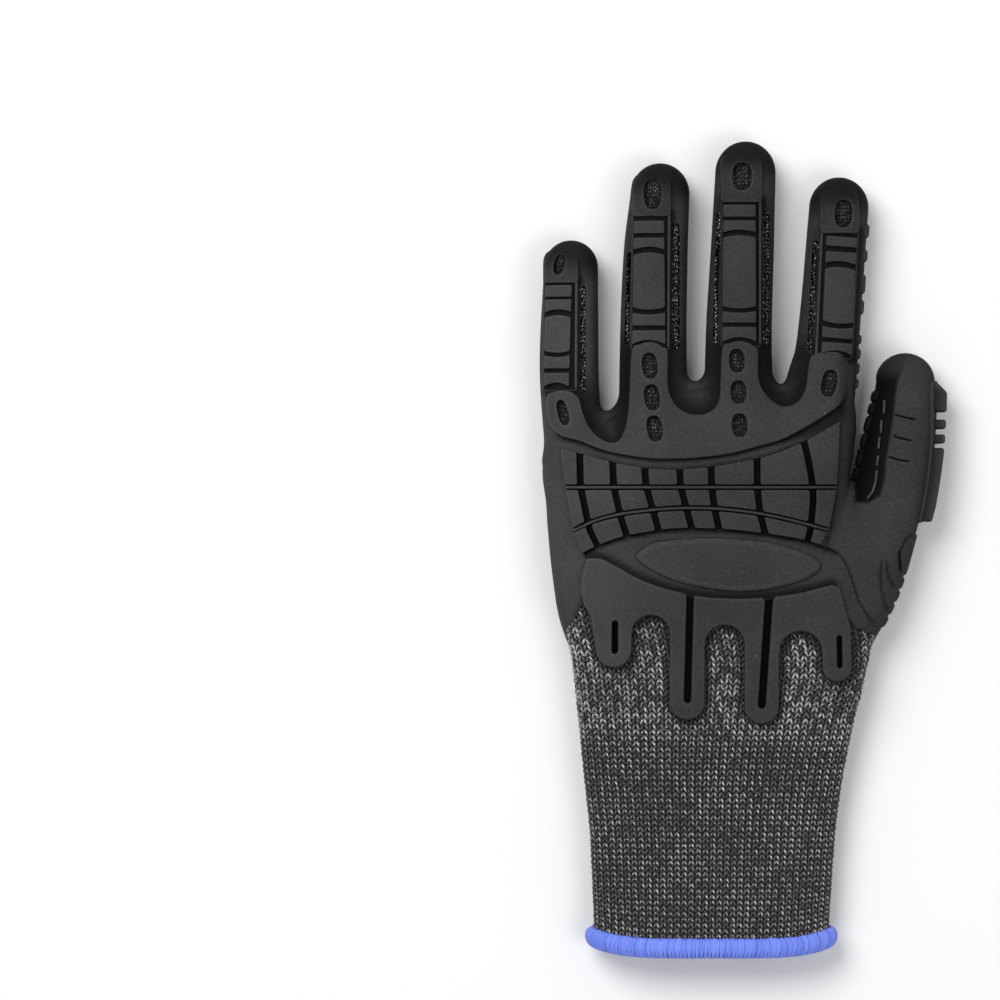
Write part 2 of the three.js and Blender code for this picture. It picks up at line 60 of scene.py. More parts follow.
# Heights above the knit's outer face, and how low the form may reach towards the floor.
COAT_INSIDE = 0.35
COAT_FACE = 1.6
COAT_LIP = 0.75
KNIT_FACE = -0.4
KNIT_INSIDE = -1.2
GUARD_SEAT = 1.1
GUARD_FLOOR = 2.6
TILE_FLOOR = 2.1
GUARD_TOP = 4.1
KNUCKLE_TOP = 3.5
RIDGE_TOP = 3.3
THUMB_BLOCK_TOP = 5.8
PALM_PAD = 2.5
PALM_PANEL = 2.2
PALM_BASE = 2.5
CUFF_BASE = 0.9

# Shape of the sections, as powers of the rounded outline across, above and below its middle.
POWER_ACROSS = 2.44
POWER_ABOVE = 2.44
POWER_BELOW = 3.23
ROOT_CAP = 9.0
FINGER_BLEND = 1.6
HAND_BLEND = 4.5
SLIT_BLEND = 1.2
FRONT_BLEND = 3.0
BASE_BLEND = 1.2

# Where the cuff's lower face drops to the palm's, and where the thumb parts from the hand.
PALM_START = (-78, -50)
THUMB_SLIT = (8, 23)

# The hand's front edge: its end, the middle of its bow, how much it bows and over which stretch. The
# hand's sections are held beyond HAND_REACH.
FRONT_END = 53.4
BOW_MIDDLE = -5
FRONT_BOW = 0.0069
BOW_REACH = (5, 50)
HAND_REACH = (-129, 53)

# The coat's edge at the wrist: its y on the back and on the palm, the middle of the palm's arch and
# how much it is arched.
BACK_EDGE = -14
PALM_EDGE = -53
WRIST_MIDDLE = -10
WRIST_ARCH = 0.0068

# Where the hollows of the coat and of the knit open at the wrist, and where the knit ends.
COAT_HOLLOW_END = -66
KNIT_END = -130.2
KNIT_HOLLOW_END = -136

# The knit's outer face in sections: y, left, right, top and bottom. A finger has its tip first.
HAND = (
    (-130.4, -48.1, 27.0, 18.6, 1.0),
    (-94.0, -49.6, 29.2, 19.4, 1.0),
    (-74.0, -51.6, 31.8, 20.2, 1.0),
    (-54.0, -53.6, 35.8, 21.6, 1.0),
    (-36.0, -55.6, 38.8, 23.2, 1.0),
    (-16.0, -59.7, 35.5, 24.8, 1.0),
    (8.0, -62.2, 33.0, 25.4, 1.0),
    (26.0, -62.7, 32.8, 24.3, 1.0),
    (44.0, -63.6, 33.4, 21.6, 1.0),
    (51.0, -63.2, 34.0, 18.6, 2.4),
    (53.4, -61.0, 32.0, 15.4, 4.6),
)
FINGERS = {
    "little": (98.8, (
        (30.0, -63.0, -47.4, 20.6, 1.0),
        (60.0, -64.8, -48.8, 18.0, 1.0),
        (91.6, -63.4, -49.0, 16.6, 1.0),
    )),
    "ring": (123.9, (
        (34.0, -39.2, -19.6, 22.0, 1.0),
        (70.0, -38.6, -20.2, 19.2, 1.0),
        (97.2, -37.4, -19.8, 18.0, 1.0),
        (115.4, -35.2, -19.2, 17.0, 1.0),
    )),
    "middle": (131.0, (
        (34.0, -11.5, 8.5, 22.4, 1.0),
        (68.0, -10.8, 7.5, 19.8, 1.0),
        (97.2, -9.1, 8.2, 18.4, 1.0),
        (122.4, -7.6, 8.8, 17.2, 1.0),
    )),
    "index": (119.3, (
        (34.0, 14.5, 33.0, 22.0, 1.0),
        (54.9, 15.6, 35.0, 20.2, 1.0),
        (66.0, 18.6, 35.8, 19.2, 1.0),
        (111.0, 23.0, 39.0, 17.0, 1.0),
    )),
    "thumb": (62.1, (
        (-44.0, 14.0, 36.4, 19.6, 1.0),
        (-29.6, 14.0, 41.6, 20.8, 1.0),
        (-14.0, 19.4, 48.6, 22.2, 1.0),
        (3.0, 28.8, 53.6, 22.6, 1.0),
        (16.0, 35.0, 56.9, 22.2, 1.0),
        (36.0, 40.0, 59.6, 20.6, 1.0),
        (54.4, 44.5, 60.5, 18.2, 1.0),
    )),
}
LONG_FINGERS = ("little", "ring", "middle", "index")

# Oval vents: x, y, width, length and tilt in radians. The first four lie in the tip pads.
VENTS = (
    (-60.1, 92.1, 3.8, 7.0, -0.25),
    (-29.9, 114.9, 6.0, 10.2, 0.0),
    (-1.0, 120.6, 6.6, 9.4, 0.0),
    (31.8, 108.6, 6.0, 9.4, -0.05),
    (-59.0, 44.2, 3.8, 8.8, 0.25),
    (-30.9, 59.3, 5.4, 8.8, 0.12),
    (-30.2, 49.1, 5.4, 8.8, 0.14),
    (-29.4, 39.0, 5.4, 8.8, 0.16),
    (-2.8, 60.9, 5.4, 8.0, 0.04),
    (-2.3, 50.7, 5.4, 8.0, 0.04),
    (-2.0, 40.0, 5.4, 8.0, 0.04),
    (27.1, 53.6, 5.4, 9.2, -0.2),
)

# Long openings beside the finger strips: the two ends of the centre line, then the width.
SIDE_SLOTS = (
    (-52.5, 84.5, -52.5, 51.5, 1.9),
    (-22.3, 104.5, -22.3, 66.0, 2.6),
    (-37.4, 95.5, -38.3, 67.0, 1.4),
    (6.9, 108.5, 6.9, 66.5, 2.2),
    (-8.3, 108.5, -9.7, 67.5, 1.5),
    (23.1, 99.0, 21.0, 64.0, 2.0),
)

# Finger strips: left edge, right edge and rim line at the tip's end and at the root's end, then the
# tip pad's two ends, where the floor ends and how the bars slant.
Strip = namedtuple("Strip", "left right rim pad floor_end slant", defaults=(0.0,))
STRIPS = {
    "little": Strip((-64.6, -65.2), (-56.0, -57.0), (-54.6, -54.8), (97.6, 86.1), 51.0),
    "ring": Strip((-35.9, -36.8), (-26.2, -25.7), (-24.6, -24.9), (122.6, 107.6), 64.2),
    "middle": Strip((-7.2, -7.5), (3.4, 3.6), (4.9, 4.8), (129.6, 112.1), 65.2),
    "index": Strip((26.3, 24.4), (36.4, 34.4), (24.9, 22.9), (117.8, 102.1), 61.2, -0.07),
}

# Bars and blocks of each strip: from, to, then how far the two ends bow outwards.
BARS = {
    "little": (
        (85.5, 81.6, 0.0, 0.0), (80.9, 76.6, 0.0, -0.9), (75.0, 64.2, 0.8, 0.8),
        (62.8, 58.4, -0.6, 0.0), (57.1, 52.4, 0.0, -1.4),
    ),
    "ring": (
        (106.3, 102.1, 0.0, 0.0), (100.8, 96.7, 0.0, -1.0), (95.2, 78.2, 0.8, 0.9),
        (76.6, 72.2, -0.7, 0.0), (70.8, 66.0, 0.0, -1.5),
    ),
    "middle": (
        (111.5, 107.4, 0.0, 0.0), (106.4, 102.3, 0.0, -0.9), (100.8, 78.5, 0.8, 0.8),
        (77.1, 73.1, -0.6, 0.0), (71.9, 66.9, 0.0, -1.5),
    ),
    "index": (
        (101.1, 97.8, 0.0, 0.0), (96.2, 92.2, 0.0, -0.8), (90.5, 73.6, 0.8, 0.8),
        (72.0, 68.1, -0.6, 0.0), (66.8, 62.8, 0.0, -1.3),
    ),
}

# The knuckle guard's outline: its rear, then finger roots and webs from index to little.
KNUCKLE_OUTLINE = (
    (-61.1, 37.4), (-53.3, 34.8), (-46.8, 32.2), (-40.3, 30.6), (-30.6, 29.2), (-20.8, 29.2),
    (-14.3, 29.6), (-4.5, 30.9), (5.2, 33.5), (11.7, 35.4), (18.2, 38.7), (24.7, 42.6),
    (30.2, 46.5), (32.8, 51.0), (33.5, 57.5), (33.5, 61.8), (32.2, 62.7), (29.9, 63.7),
    (26.7, 64.0), (23.4, 63.4), (21.1, 62.1), (20.2, 57.5), (19.5, 52.3), (17.6, 48.4),
    (14.6, 46.5), (11.1, 46.5), (7.8, 48.8), (5.2, 52.3), (4.2, 56.6), (4.2, 64.0),
    (2.6, 65.7), (0.3, 67.0), (-2.3, 67.3), (-5.2, 66.6), (-7.5, 65.0), (-8.1, 53.3),
    (-8.5, 48.4), (-10.4, 45.2), (-13.7, 43.6), (-17.6, 43.7), (-21.4, 45.5), (-23.7, 48.4),
    (-25.0, 53.3), (-25.0, 64.0), (-26.7, 65.3), (-28.6, 66.6), (-31.2, 67.1), (-34.1, 66.3),
    (-36.7, 64.4), (-37.4, 51.7), (-38.0, 43.6), (-39.0, 38.7), (-41.0, 35.1), (-43.6, 34.5),
    (-46.8, 35.8), (-50.1, 39.0), (-52.3, 43.6), (-53.6, 48.4), (-54.6, 49.7), (-56.6, 51.0),
    (-59.8, 51.4), (-62.7, 50.7), (-64.2, 49.4), (-64.2, 43.6),
)

# Lines of the back guard, from the band across the hand to the lens.
BAND_LOW = (
    (-60.5, 32.8), (-53.3, 30.9), (-46.8, 29.2), (-40.3, 27.6), (-30.6, 26.0), (-20.8, 25.8),
    (-11.1, 26.7), (-1.3, 28.3), (8.5, 30.6), (18.2, 34.5), (24.7, 38.0), (30.2, 41.3),
)
ROW_ONE_END = ((-63.1, 20.0), (34.5, 20.0))
ROW_TWO_END = (
    (-59.8, 3.9), (-55.9, 5.9), (-50.1, 8.8), (-40.3, 11.4), (-29.9, 12.7), (-20.8, 13.3),
    (-7.8, 13.0), (5.2, 11.4), (18.2, 8.5), (31.2, 4.9),
)
ROW_THREE_END = (
    (-56.6, -3.6), (-52.3, -1.0), (-47.5, 1.3), (-40.3, 3.9), (-29.9, 5.9), (-20.8, 6.8),
    (-7.8, 6.5), (5.2, 5.2), (18.9, 2.9), (31.2, -1.0),
)
COLUMNS = (
    ((-59.8, 32.8), (-58.2, 20.2), (-55.6, 5.2), (-52.6, -2.3)),
    ((-53.6, 32.8), (-53.3, 20.2), (-50.4, 6.2), (-47.5, 0.3)),
    ((-43.2, 32.8), (-42.6, 20.2), (-40.3, 10.1), (-38.0, 2.9)),
    ((-33.1, 32.8), (-32.2, 20.2), (-29.9, 12.3), (-27.9, 4.9)),
    ((-21.8, 32.8), (-21.1, 20.2), (-19.2, 13.0), (-17.2, 5.5)),
    ((-11.4, 32.8), (-11.1, 20.2), (-10.1, 12.7), (-8.5, 5.2)),
    ((3.6, 32.8), (3.6, 20.2), (4.5, 11.4), (6.5, 3.6)),
    ((18.2, 36.7), (19.8, 30.6), (21.4, 22.4), (21.8, 15.9), (20.8, 6.2), (19.2, 0.3)),
    ((30.6, 43.6), (30.2, 30.6), (29.6, 19.2), (27.0, 6.8), (23.4, -0.3)),
)
COLUMN_WIDTH = 2.1
ROW_GROOVE = 1.65
BOSS = (
    (-35.8, -2.3), (-33.8, 0.0), (-29.9, 2.3), (-24.1, 3.2), (-17.6, 3.7), (-9.4, 3.9),
    (-1.3, 3.4), (5.9, 2.6), (11.7, 1.3), (18.2, -0.7), (22.8, -3.2), (24.4, -5.5),
    (22.1, -8.1), (18.2, -10.1), (11.7, -12.0), (5.2, -13.2), (-1.3, -13.7), (-7.8, -13.3),
    (-14.3, -12.3), (-20.8, -10.9), (-26.0, -9.1), (-29.9, -7.2), (-33.5, -4.9),
)
LENS_LOW = (
    (-51.4, -2.9), (-46.8, -2.9), (-41.6, -5.5), (-37.1, -8.1), (-32.2, -10.4), (-27.3, -12.2),
    (-22.4, -13.5), (-17.6, -14.5), (-12.7, -15.3), (-7.8, -15.6), (-1.3, -15.8), (5.2, -15.4),
    (11.7, -14.8), (18.2, -13.8), (24.1, -12.3), (27.9, -11.4),
)
PLATE_LEFT = ((-53.0, -8.5), (-53.3, -13.3), (-52.3, -17.9), (-50.0, -21.8))
PLATE_RIGHT = ((30.2, -12.3), (31.5, -16.6), (32.8, -21.4), (34.0, -25.0))

# The slab under the tiles and the lens: its right side, which sinks into the thumb's base, its left
# side and how far it reaches past the lens.
SLAB_RIGHT = (
    (30.0, 30.0), (29.4, 19.2), (27.4, 7.4), (26.2, 0.5), (30.2, -1.6), (32.6, -5.8),
    (34.6, -11.4), (36.4, -16.6), (39.0, -21.2), (40.6, -24.2), (36.4, -26.0), (33.0, -22.0),
)
SLAB_LEFT = ((-52.6, 0.0), (-55.4, 5.2), (-57.9, 20.2), (-59.6, 32.0))
SLAB_REACH = 1.2

# Tongues of the plate: left, right and end, then the slot's two ends and its width.
Tongue = namedtuple("Tongue", "left right end slot slot_width")
TONGUES = (
    Tongue(-48.4, -36.8, -38.2, ((-42.2, -24.0), (-42.2, -32.8)), 1.9),
    Tongue(-24.6, -13.2, -55.1, ((-18.0, -14.6), (-18.8, -49.6)), 2.2),
    Tongue(-0.5, 10.8, -56.4, ((7.4, -16.2), (5.2, -51.4)), 2.4),
    Tongue(24.6, 34.4, -42.8, ((30.2, -28.6), (30.4, -37.6)), 1.6),
)
ARCH_TOPS = (-21.2, -24.4, -26.4)
PLATE_SEAT = 0.9

# Raised blocks on the thumb's outer side: from, to, then the lowest and highest z.
THUMB_BLOCKS = (
    (54.2, 44.4, 6.6, 16.4),
    (42.0, 38.9, 6.4, 16.6),
    (37.2, 34.2, 6.4, 16.6),
    (32.8, 8.8, 6.2, 16.8),
)

# Pads of the palm side, as seen through the glove from above.
PALM_PANEL_OUTLINE = (
    (27.1, 45.2), (22.4, 43.2), (13.8, 40.0), (7.1, 36.7), (0.2, 35.1), (-8.1, 32.8),
    (-15.0, 31.2), (-22.2, 30.2), (-35.3, 28.6), (-46.8, 27.3), (-61.0, 27.0), (-62.0, 35.4),
    (-62.4, 43.6), (-62.2, 50.7), (-52.6, 50.7), (-52.0, 47.8), (-50.3, 43.6), (-48.3, 40.0),
    (-44.5, 38.0), (-41.2, 38.4), (-38.5, 41.0), (-36.3, 45.2), (-35.1, 50.1), (-34.8, 61.4),
    (-23.4, 61.4), (-23.7, 53.3), (-23.4, 48.4), (-22.0, 44.2), (-18.9, 41.6), (-15.4, 40.6),
    (-12.1, 42.6), (-9.2, 47.1), (-7.2, 52.3), (-6.5, 64.7), (3.6, 64.7), (3.2, 54.9),
    (2.9, 48.4), (3.7, 44.9), (6.1, 42.2), (10.4, 42.2), (13.7, 44.5), (15.0, 48.4),
    (16.6, 53.3), (19.5, 60.1), (29.6, 59.1), (28.9, 51.7),
)
PALM_STRIP = (
    (-5.4, 39.6), (-12.0, 38.4), (-25.1, 36.1), (-38.2, 34.5), (-48.0, 33.5), (-61.0, 33.5),
    (-61.2, 30.9), (-51.4, 30.9), (-38.4, 32.2), (-25.3, 33.8), (-12.1, 36.4), (-5.5, 37.4),
)
LEAF = (
    (19.9, 16.9), (14.7, 16.6), (10.0, 15.0), (6.0, 13.0), (1.9, 10.4), (-1.5, 7.5),
    (-5.0, 3.6), (-8.5, -1.3), (-11.1, -5.9), (-13.4, -11.7), (-15.0, -16.6), (-16.2, -23.1),
    (-16.6, -29.6), (-15.7, -36.1), (-13.5, -42.6), (-10.4, -48.1), (-6.5, -48.4),
    (-1.9, -48.4), (1.7, -47.5), (7.9, -45.8), (12.1, -43.6), (15.4, -41.3), (12.3, -35.4),
    (10.1, -30.2), (8.5, -23.4), (8.1, -17.2), (8.7, -11.7), (10.8, -5.2), (13.0, -0.3),
    (15.9, 3.9), (18.3, 7.2), (19.9, 12.0),
)
PETAL = (
    (-13.9, 11.7), (-21.2, 8.8), (-26.9, 5.5), (-32.0, 2.6), (-37.7, -1.0), (-43.2, -5.5),
    (-49.1, -11.4), (-54.3, -16.9), (-57.4, -22.4), (-56.6, -29.6), (-54.6, -36.1),
    (-52.0, -41.0), (-47.0, -44.0), (-43.2, -45.6), (-36.7, -47.3), (-30.2, -48.6),
    (-22.1, -49.0), (-14.6, -48.4), (-17.4, -43.9), (-19.6, -38.4), (-20.8, -31.9),
    (-20.8, -24.7), (-19.5, -18.2), (-17.2, -10.1), (-15.1, -3.6), (-12.9, 2.0), (-11.6, 6.2),
)

# The leaf's slit, then the petal's two.
SLITS = (
    ((2.0, -45.6), (-0.8, -41.6), (-3.3, -36.1), (-4.9, -29.6), (-5.2, -23.1), (-4.5, -16.6),
     (-3.0, -12.3), (-0.8, -7.5), (1.1, -4.2)),
    ((-15.4, 8.2), (-19.1, 5.6), (-22.9, 1.8), (-27.4, -2.8), (-31.6, -8.0), (-35.2, -12.9),
     (-37.7, -16.8), (-39.0, -19.5)),
    ((-41.9, -26.3), (-44.5, -27.0), (-47.5, -29.6), (-50.4, -32.5), (-53.0, -35.4)),
)
SLIT_WIDTHS = (1.5, 1.9, 1.7)

# Lines of the palm side with painted shade along them: the slits, and the right edges of the leaf and
# the petal.
SHADED_LINES = (*SLITS, LEAF[21:], PETAL[17:])

LATTICE = (
    ((23.2, 39.6), (16.9, 37.7), (16.4, 28.9), (22.3, 29.9)),
    ((14.6, 36.4), (6.9, 34.1), (6.5, 26.7), (13.7, 27.6)),
    ((4.9, 32.2), (-3.3, 30.9), (-3.4, 24.7), (4.2, 25.7)),
    ((-6.0, 29.9), (-14.5, 28.6), (-14.5, 22.8), (-6.7, 24.1)),
    ((-16.5, 27.9), (-25.3, 27.0), (-25.4, 20.8), (-17.2, 22.1)),
    ((-27.3, 26.0), (-36.2, 25.0), (-36.2, 18.9), (-28.0, 20.2)),
    ((-38.1, 24.7), (-46.3, 24.1), (-46.4, 16.6), (-38.9, 18.2)),
    ((-48.6, 23.4), (-60.6, 23.7), (-60.8, 13.3), (-49.4, 15.3)),
    ((21.1, 26.3), (15.9, 25.7), (15.5, 19.8), (20.4, 20.5)),
    ((12.9, 25.7), (6.7, 24.4), (6.4, 18.9), (12.3, 19.8)),
    ((3.7, 23.1), (-3.9, 22.1), (-3.8, 17.2), (3.1, 18.2)),
    ((-7.1, 21.4), (-15.0, 20.2), (-15.1, 14.0), (-7.8, 15.9)),
    ((-18.0, 19.8), (-25.6, 17.9), (-26.1, 9.1), (-18.7, 13.0)),
    ((-30.8, 17.6), (-37.1, 15.9), (-37.3, 12.0)),
    ((-28.6, 15.3), (-38.4, 10.1), (-38.2, 2.0), (-29.7, 8.1)),
    ((-39.4, 15.3), (-47.2, 14.3), (-47.7, 6.8), (-39.9, 11.4)),
    ((-49.9, 13.0), (-60.4, 11.7), (-59.6, -4.5), (-50.8, 3.9)),
    ((-40.4, 8.8), (-48.8, 3.6), (-49.5, -7.2), (-41.0, -0.7)),
    ((-51.3, 1.3), (-59.4, -6.2), (-57.6, -18.2), (-52.6, -10.7)),
)
LADDER_HALF = 5.4
LADDER_BOW = 0.7
LADDERS = (
    (28.1, 102.4, 97.5), (27.6, 93.3, 88.7), (27.1, 84.5, 80.3), (26.6, 76.4, 71.8),
    (26.2, 68.6, 63.7), (-0.7, 113.1, 107.9), (-0.7, 104.7, 100.1), (-0.7, 96.9, 92.0),
    (-0.7, 88.7, 84.2), (-0.7, 80.9, 76.4), (-0.7, 73.1, 68.2), (-28.9, 107.2, 102.4),
    (-28.9, 97.5, 93.0), (-28.9, 88.4, 83.5), (-28.9, 79.3, 74.8), (-28.9, 70.9, 65.7),
    (-57.6, 82.9, 78.0), (-57.5, 75.4, 70.2), (-57.4, 67.3, 62.4), (-57.2, 59.5, 54.3),
)
DIMPLES = ((29.2, 104.3), (-1.3, 116.4), (-28.6, 110.2), (-57.2, 87.4), (52.6, 48.4))
DIMPLE_RADIUS = 1.625
DIMPLE_DEPTH = 0.75
PALM_CREASES = (
    ((51.1, -9.8), (43.7, -9.4), (37.3, -6.8), (33.6, -2.9), (31.4, 2.3), (30.7, 7.8)),
    ((48.2, -15.3), (41.8, -12.7), (35.5, -9.1), (31.0, -3.6), (28.7, 0.7)),
    ((27.7, 0.3), (25.5, -3.6), (24.6, -7.5), (25.2, -13.3), (27.6, -19.8), (32.5, -24.7),
     (38.0, -28.0)),
    ((15.5, -7.2), (15.5, -13.3), (17.6, -20.8), (23.7, -28.6), (31.9, -32.0)),
    ((47.1, -17.6), (41.6, -16.6), (35.3, -14.0), (30.6, -10.1)),
    ((45.5, -21.8), (40.0, -20.5), (33.5, -17.2), (29.1, -13.3)),
    ((41.2, -26.3), (37.4, -23.7), (31.5, -19.8), (27.9, -16.6)),
)

# The crease from the index finger's root down to the thumb's on the palm side, drawn only as painted
# shade.
THUMB_CREASE = ((30.5, 52.0), (29.0, 42.0), (26.5, 27.0), (24.0, 15.0))

# Grooves pressed into the coat on the back, the cutter's radius and its rise above the coat.
BACK_GROOVES = (
    ((48.5, 43.5), (51.6, 42.6), (54.9, 41.9)),
    ((48.0, 36.5), (50.8, 35.7), (53.5, 35.1)),
    ((46.2, 29.9), (49.4, 28.9), (52.6, 28.3)),
    ((49.7, -0.5), (50.4, -7.0)),
)
GROOVE_RADIUS = 0.5
GROOVE_RISE = 0.15

# A hollow along the thumb's inside, darkened with painted shade, with its depth.
THUMB_HOLLOW = (
    (53.0, 66.0), (51.2, 58.0), (49.6, 54.9), (48.7, 50.4), (47.6, 41.7), (46.2, 33.2),
    (45.3, 27.6), (44.9, 22.1), (43.5, 17.2), (39.4, 15.0), (35.5, 15.3), (35.5, 22.0),
    (36.0, 27.0), (36.5, 31.3), (37.3, 37.7), (38.2, 45.2), (40.0, 55.0), (41.0, 66.0),
)
HOLLOW_DEPTH = 0.9

# How far the cutters of the vents and of the side openings reach down, and how far both reach up.
VENT_CUT_LOW = 11
SLOT_CUT_LOW = 13.4
CUT_TOP = 45

# Low scales on the thumb's base, each raised to the right of a line that runs down: line, rise, reach.
SCALES = (
    (
        ((18.7, 2.0), (26.2, 0.5), (30.4, -1.8), (32.8, -6.1), (34.6, -10.7), (36.5, -16.4),
         (39.3, -21.1), (44.0, -25.6)),
        0.7,
        9.0,
    ),
    (((44.7, -2.6), (43.8, -8.4), (45.0, -15.9), (46.8, -20.6)), 0.6, 3.2),
    (((45.9, -3.0), (46.4, -8.0), (48.8, -12.7)), 0.5, 3.0),
    (((54.8, 5.0), (52.0, 2.6), (50.1, -2.3), (50.9, -8.0)), 0.6, 4.0),
)

# The hem's thread path: y and height above the knit, from its outer edge round to its inside.
HEM_PATH = (
    (-126.2, 0.5), (-127.0, 1.2), (-128.4, 1.75), (-130.2, 1.9), (-131.6, 1.4), (-132.3, 0.3),
    (-132.3, -1.0), (-131.6, -2.0), (-130.0, -2.4), (-127.8, -2.2),
)
HEM_CORE = (
    (-127.2, 0.3), (-128.4, 1.1), (-130.2, 1.3), (-131.4, 0.8), (-131.8, -0.4), (-131.0, -1.7),
    (-129.2, -1.9), (-127.6, -1.7), (-127.2, -0.6),
)


# Geometry of the glove's form


def smooth_curve(knots, values, at):
    """Values on a monotone cubic through the knots, held at its ends."""
    knots = np.asarray(knots, float)
    values = np.asarray(values, float)
    steps = np.diff(knots)
    slopes = np.diff(values) / steps
    tangents = np.zeros(len(knots))
    tangents[0] = slopes[0]
    tangents[-1] = slopes[-1]
    for i in range(1, len(knots) - 1):
        if slopes[i - 1] * slopes[i] > 0:
            tangents[i] = 2 * slopes[i - 1] * slopes[i] / (slopes[i - 1] + slopes[i])
    at = np.clip(at, knots[0], knots[-1])
    cell = np.clip(np.searchsorted(knots, at) - 1, 0, len(knots) - 2)
    step = steps[cell]
    t = (at - knots[cell]) / step
    rise = values[cell] * (2 * t**3 - 3 * t**2 + 1) + values[cell + 1] * (3 * t**2 - 2 * t**3)
    lean = tangents[cell] * (t**3 - 2 * t**2 + t) + tangents[cell + 1] * (t**3 - t**2)
    return rise + step * lean


def smooth_min(a, b, width):
    share = np.clip(0.5 + 0.5 * (b - a) / width, 0, 1)
    return b * (1 - share) + a * share - width * share * (1 - share)


def smooth_max(a, b, width):
    return -smooth_min(-a, -b, width)


def smooth_step(value, low, high):
    t = np.clip((value - low) / (high - low), 0, 1)
    return t * t * (3 - 2 * t)


def fade_out(value, low, high):
    return 1 - smooth_step(value, low, high)


def between(low, high, share):
    return low + (high - low) * share


def form_distance(rows, tip, x, y, z):
    """Signed distance to one rounded form, with a dome at its tip and a cap at its root."""
    rows = np.array(rows)
    knots = rows[:, 0]
    left, right, top, bottom = (smooth_curve(knots, rows[:, i], y) for i in range(1, 5))
    half_x = (right - left) / 2
    half_z = (top - bottom) / 2
    off_x = np.abs(x - (left + right) / 2) / half_x + 1e-6
    off_z = (z - (top + bottom) / 2) / half_z
    power = np.where(off_z > 0, POWER_ABOVE, POWER_BELOW)
    off_z = np.abs(off_z) + 1e-6
    part_x = off_x ** (POWER_ACROSS - 1)
    part_z = off_z ** (power - 1)
    across = np.maximum((part_x * off_x + part_z * off_z) ** (1 / POWER_ACROSS), 0.05)
    lean = across ** (1 - POWER_ACROSS)
    slope_x = lean * part_x / half_x
    slope_z = lean * (power / POWER_ACROSS) * part_z / half_z
    reach = np.where(y > knots[-1], tip - knots[-1], ROOT_CAP)
    past = np.maximum(y - knots[-1], knots[0] - y).clip(0) / reach
    whole = np.sqrt(across**2 + past**2)
    steep = np.sqrt(across**2 * (slope_x**2 + slope_z**2) + (past / reach) ** 2) / whole
    return (whole - 1) / steep


def hand_distance(x, y, z):
    """Signed distance to the hand with its cuff, whose front edge bows back at the sides."""
    start, end = BOW_REACH
    span = end - start
    bow = FRONT_BOW * (x - BOW_MIDDLE) ** 2
    bent = (y - bow * start / span) / (1 - np.minimum(bow / span, 0.9))
    level = np.where(bent > end, y + bow, np.where(bent < start, y, bent))
    body = form_distance(HAND, FRONT_END, x, np.clip(level, *HAND_REACH), z)
    front = (level - FRONT_END) / np.sqrt(1 + (2 * FRONT_BOW * (x - BOW_MIDDLE)) ** 2)
    return smooth_max(body, front, FRONT_BLEND)


def finger_distance(name):
    """The signed distance to one finger, as a function."""
    tip, rows = FINGERS[name]
    return lambda x, y, z: form_distance(rows, tip, x, y, z)


def glove_distance(x, y, z):
    """Signed distance to the knit's outer face of the whole glove, in millimetres."""
    fingers = finger_distance(LONG_FINGERS[0])(x, y, z)
    for name in LONG_FINGERS[1:]:
        fingers = smooth_min(fingers, finger_distance(name)(x, y, z), FINGER_BLEND)
    whole = smooth_min(hand_distance(x, y, z), fingers, HAND_BLEND)
    blend = between(HAND_BLEND, SLIT_BLEND, smooth_step(y, *THUMB_SLIT))
    return smooth_min(whole, finger_distance("thumb")(x, y, z), blend)


def lowest(y, height):
    """How low a face of that height may reach: the palm's pads and the cuff touch the floor."""
    return between(CUFF_BASE, PALM_BASE, smooth_step(y, *PALM_START)) - height


def wall_distance(height, x, y, z):
    """Signed distance to the face at that height above the knit, cut flat above the floor."""
    return smooth_max(glove_distance(x, y, z) - height, lowest(y, height) - z, BASE_BLEND)


def project(points, height, axis, near, far, distance=glove_distance):
    """Flat points put where the form has that height, between near and far along one axis."""
    low = np.full(len(points), float(near))
    high = np.full(len(points), float(far))
    height = np.broadcast_to(height, len(points))
    for _ in range(18):
        middle = (low + high) / 2
        spot = np.insert(points, axis, middle, axis=1)
        within = distance(*spot.T) < height
        low = np.where(within, middle, low)
        high = np.where(within, high, middle)
    return np.insert(points, axis, (low + high) / 2, axis=1)


# Each lift puts a flat outline onto one side of the glove, at a height above the knit.


def on_back(points, height):
    return project(points, height, 2, 10.5, 40)


def on_palm(points, height):
    spot = project(points, height, 2, 8, -6)
    floor = lowest(spot[:, 1], height)
    spot[:, 2] = smooth_max(spot[:, 2], floor, 0.4) - 0.1
    spot[:, 2] = np.maximum(spot[:, 2], floor)
    return spot


def on_right(points, height):
    return project(points, height, 0, 24, 90)


def on_index_side(points, height):
    return project(points, height, 0, 26, 60, finger_distance("index"))


def on_thumb_inside(points, height):
    return project(points, height, 0, 50, 20, finger_distance("thumb"))


def slope_of(distance, points, step=0.2):
    """How fast a distance grows along each axis, at each point."""
    x, y, z = points.T
    return np.column_stack([
        distance(x + step, y, z) - distance(x - step, y, z),
        distance(x, y + step, z) - distance(x, y - step, z),
        distance(x, y, z + step) - distance(x, y, z - step),
    ]) / (2 * step)


def outward(points):
    """The direction away from the glove's form at each point."""
    slope = slope_of(glove_distance, points)
    return slope / np.maximum(np.linalg.norm(slope, axis=1), 1e-6)[:, None]


def settled(points):
    """The same points moved straight onto the knit's outer face."""
    points = points.copy()
    for _ in range(3):
        here = glove_distance(*points.T)
        points -= outward(points) * np.clip(here, -3, 3)[:, None]
    return points


# Outlines in the plane


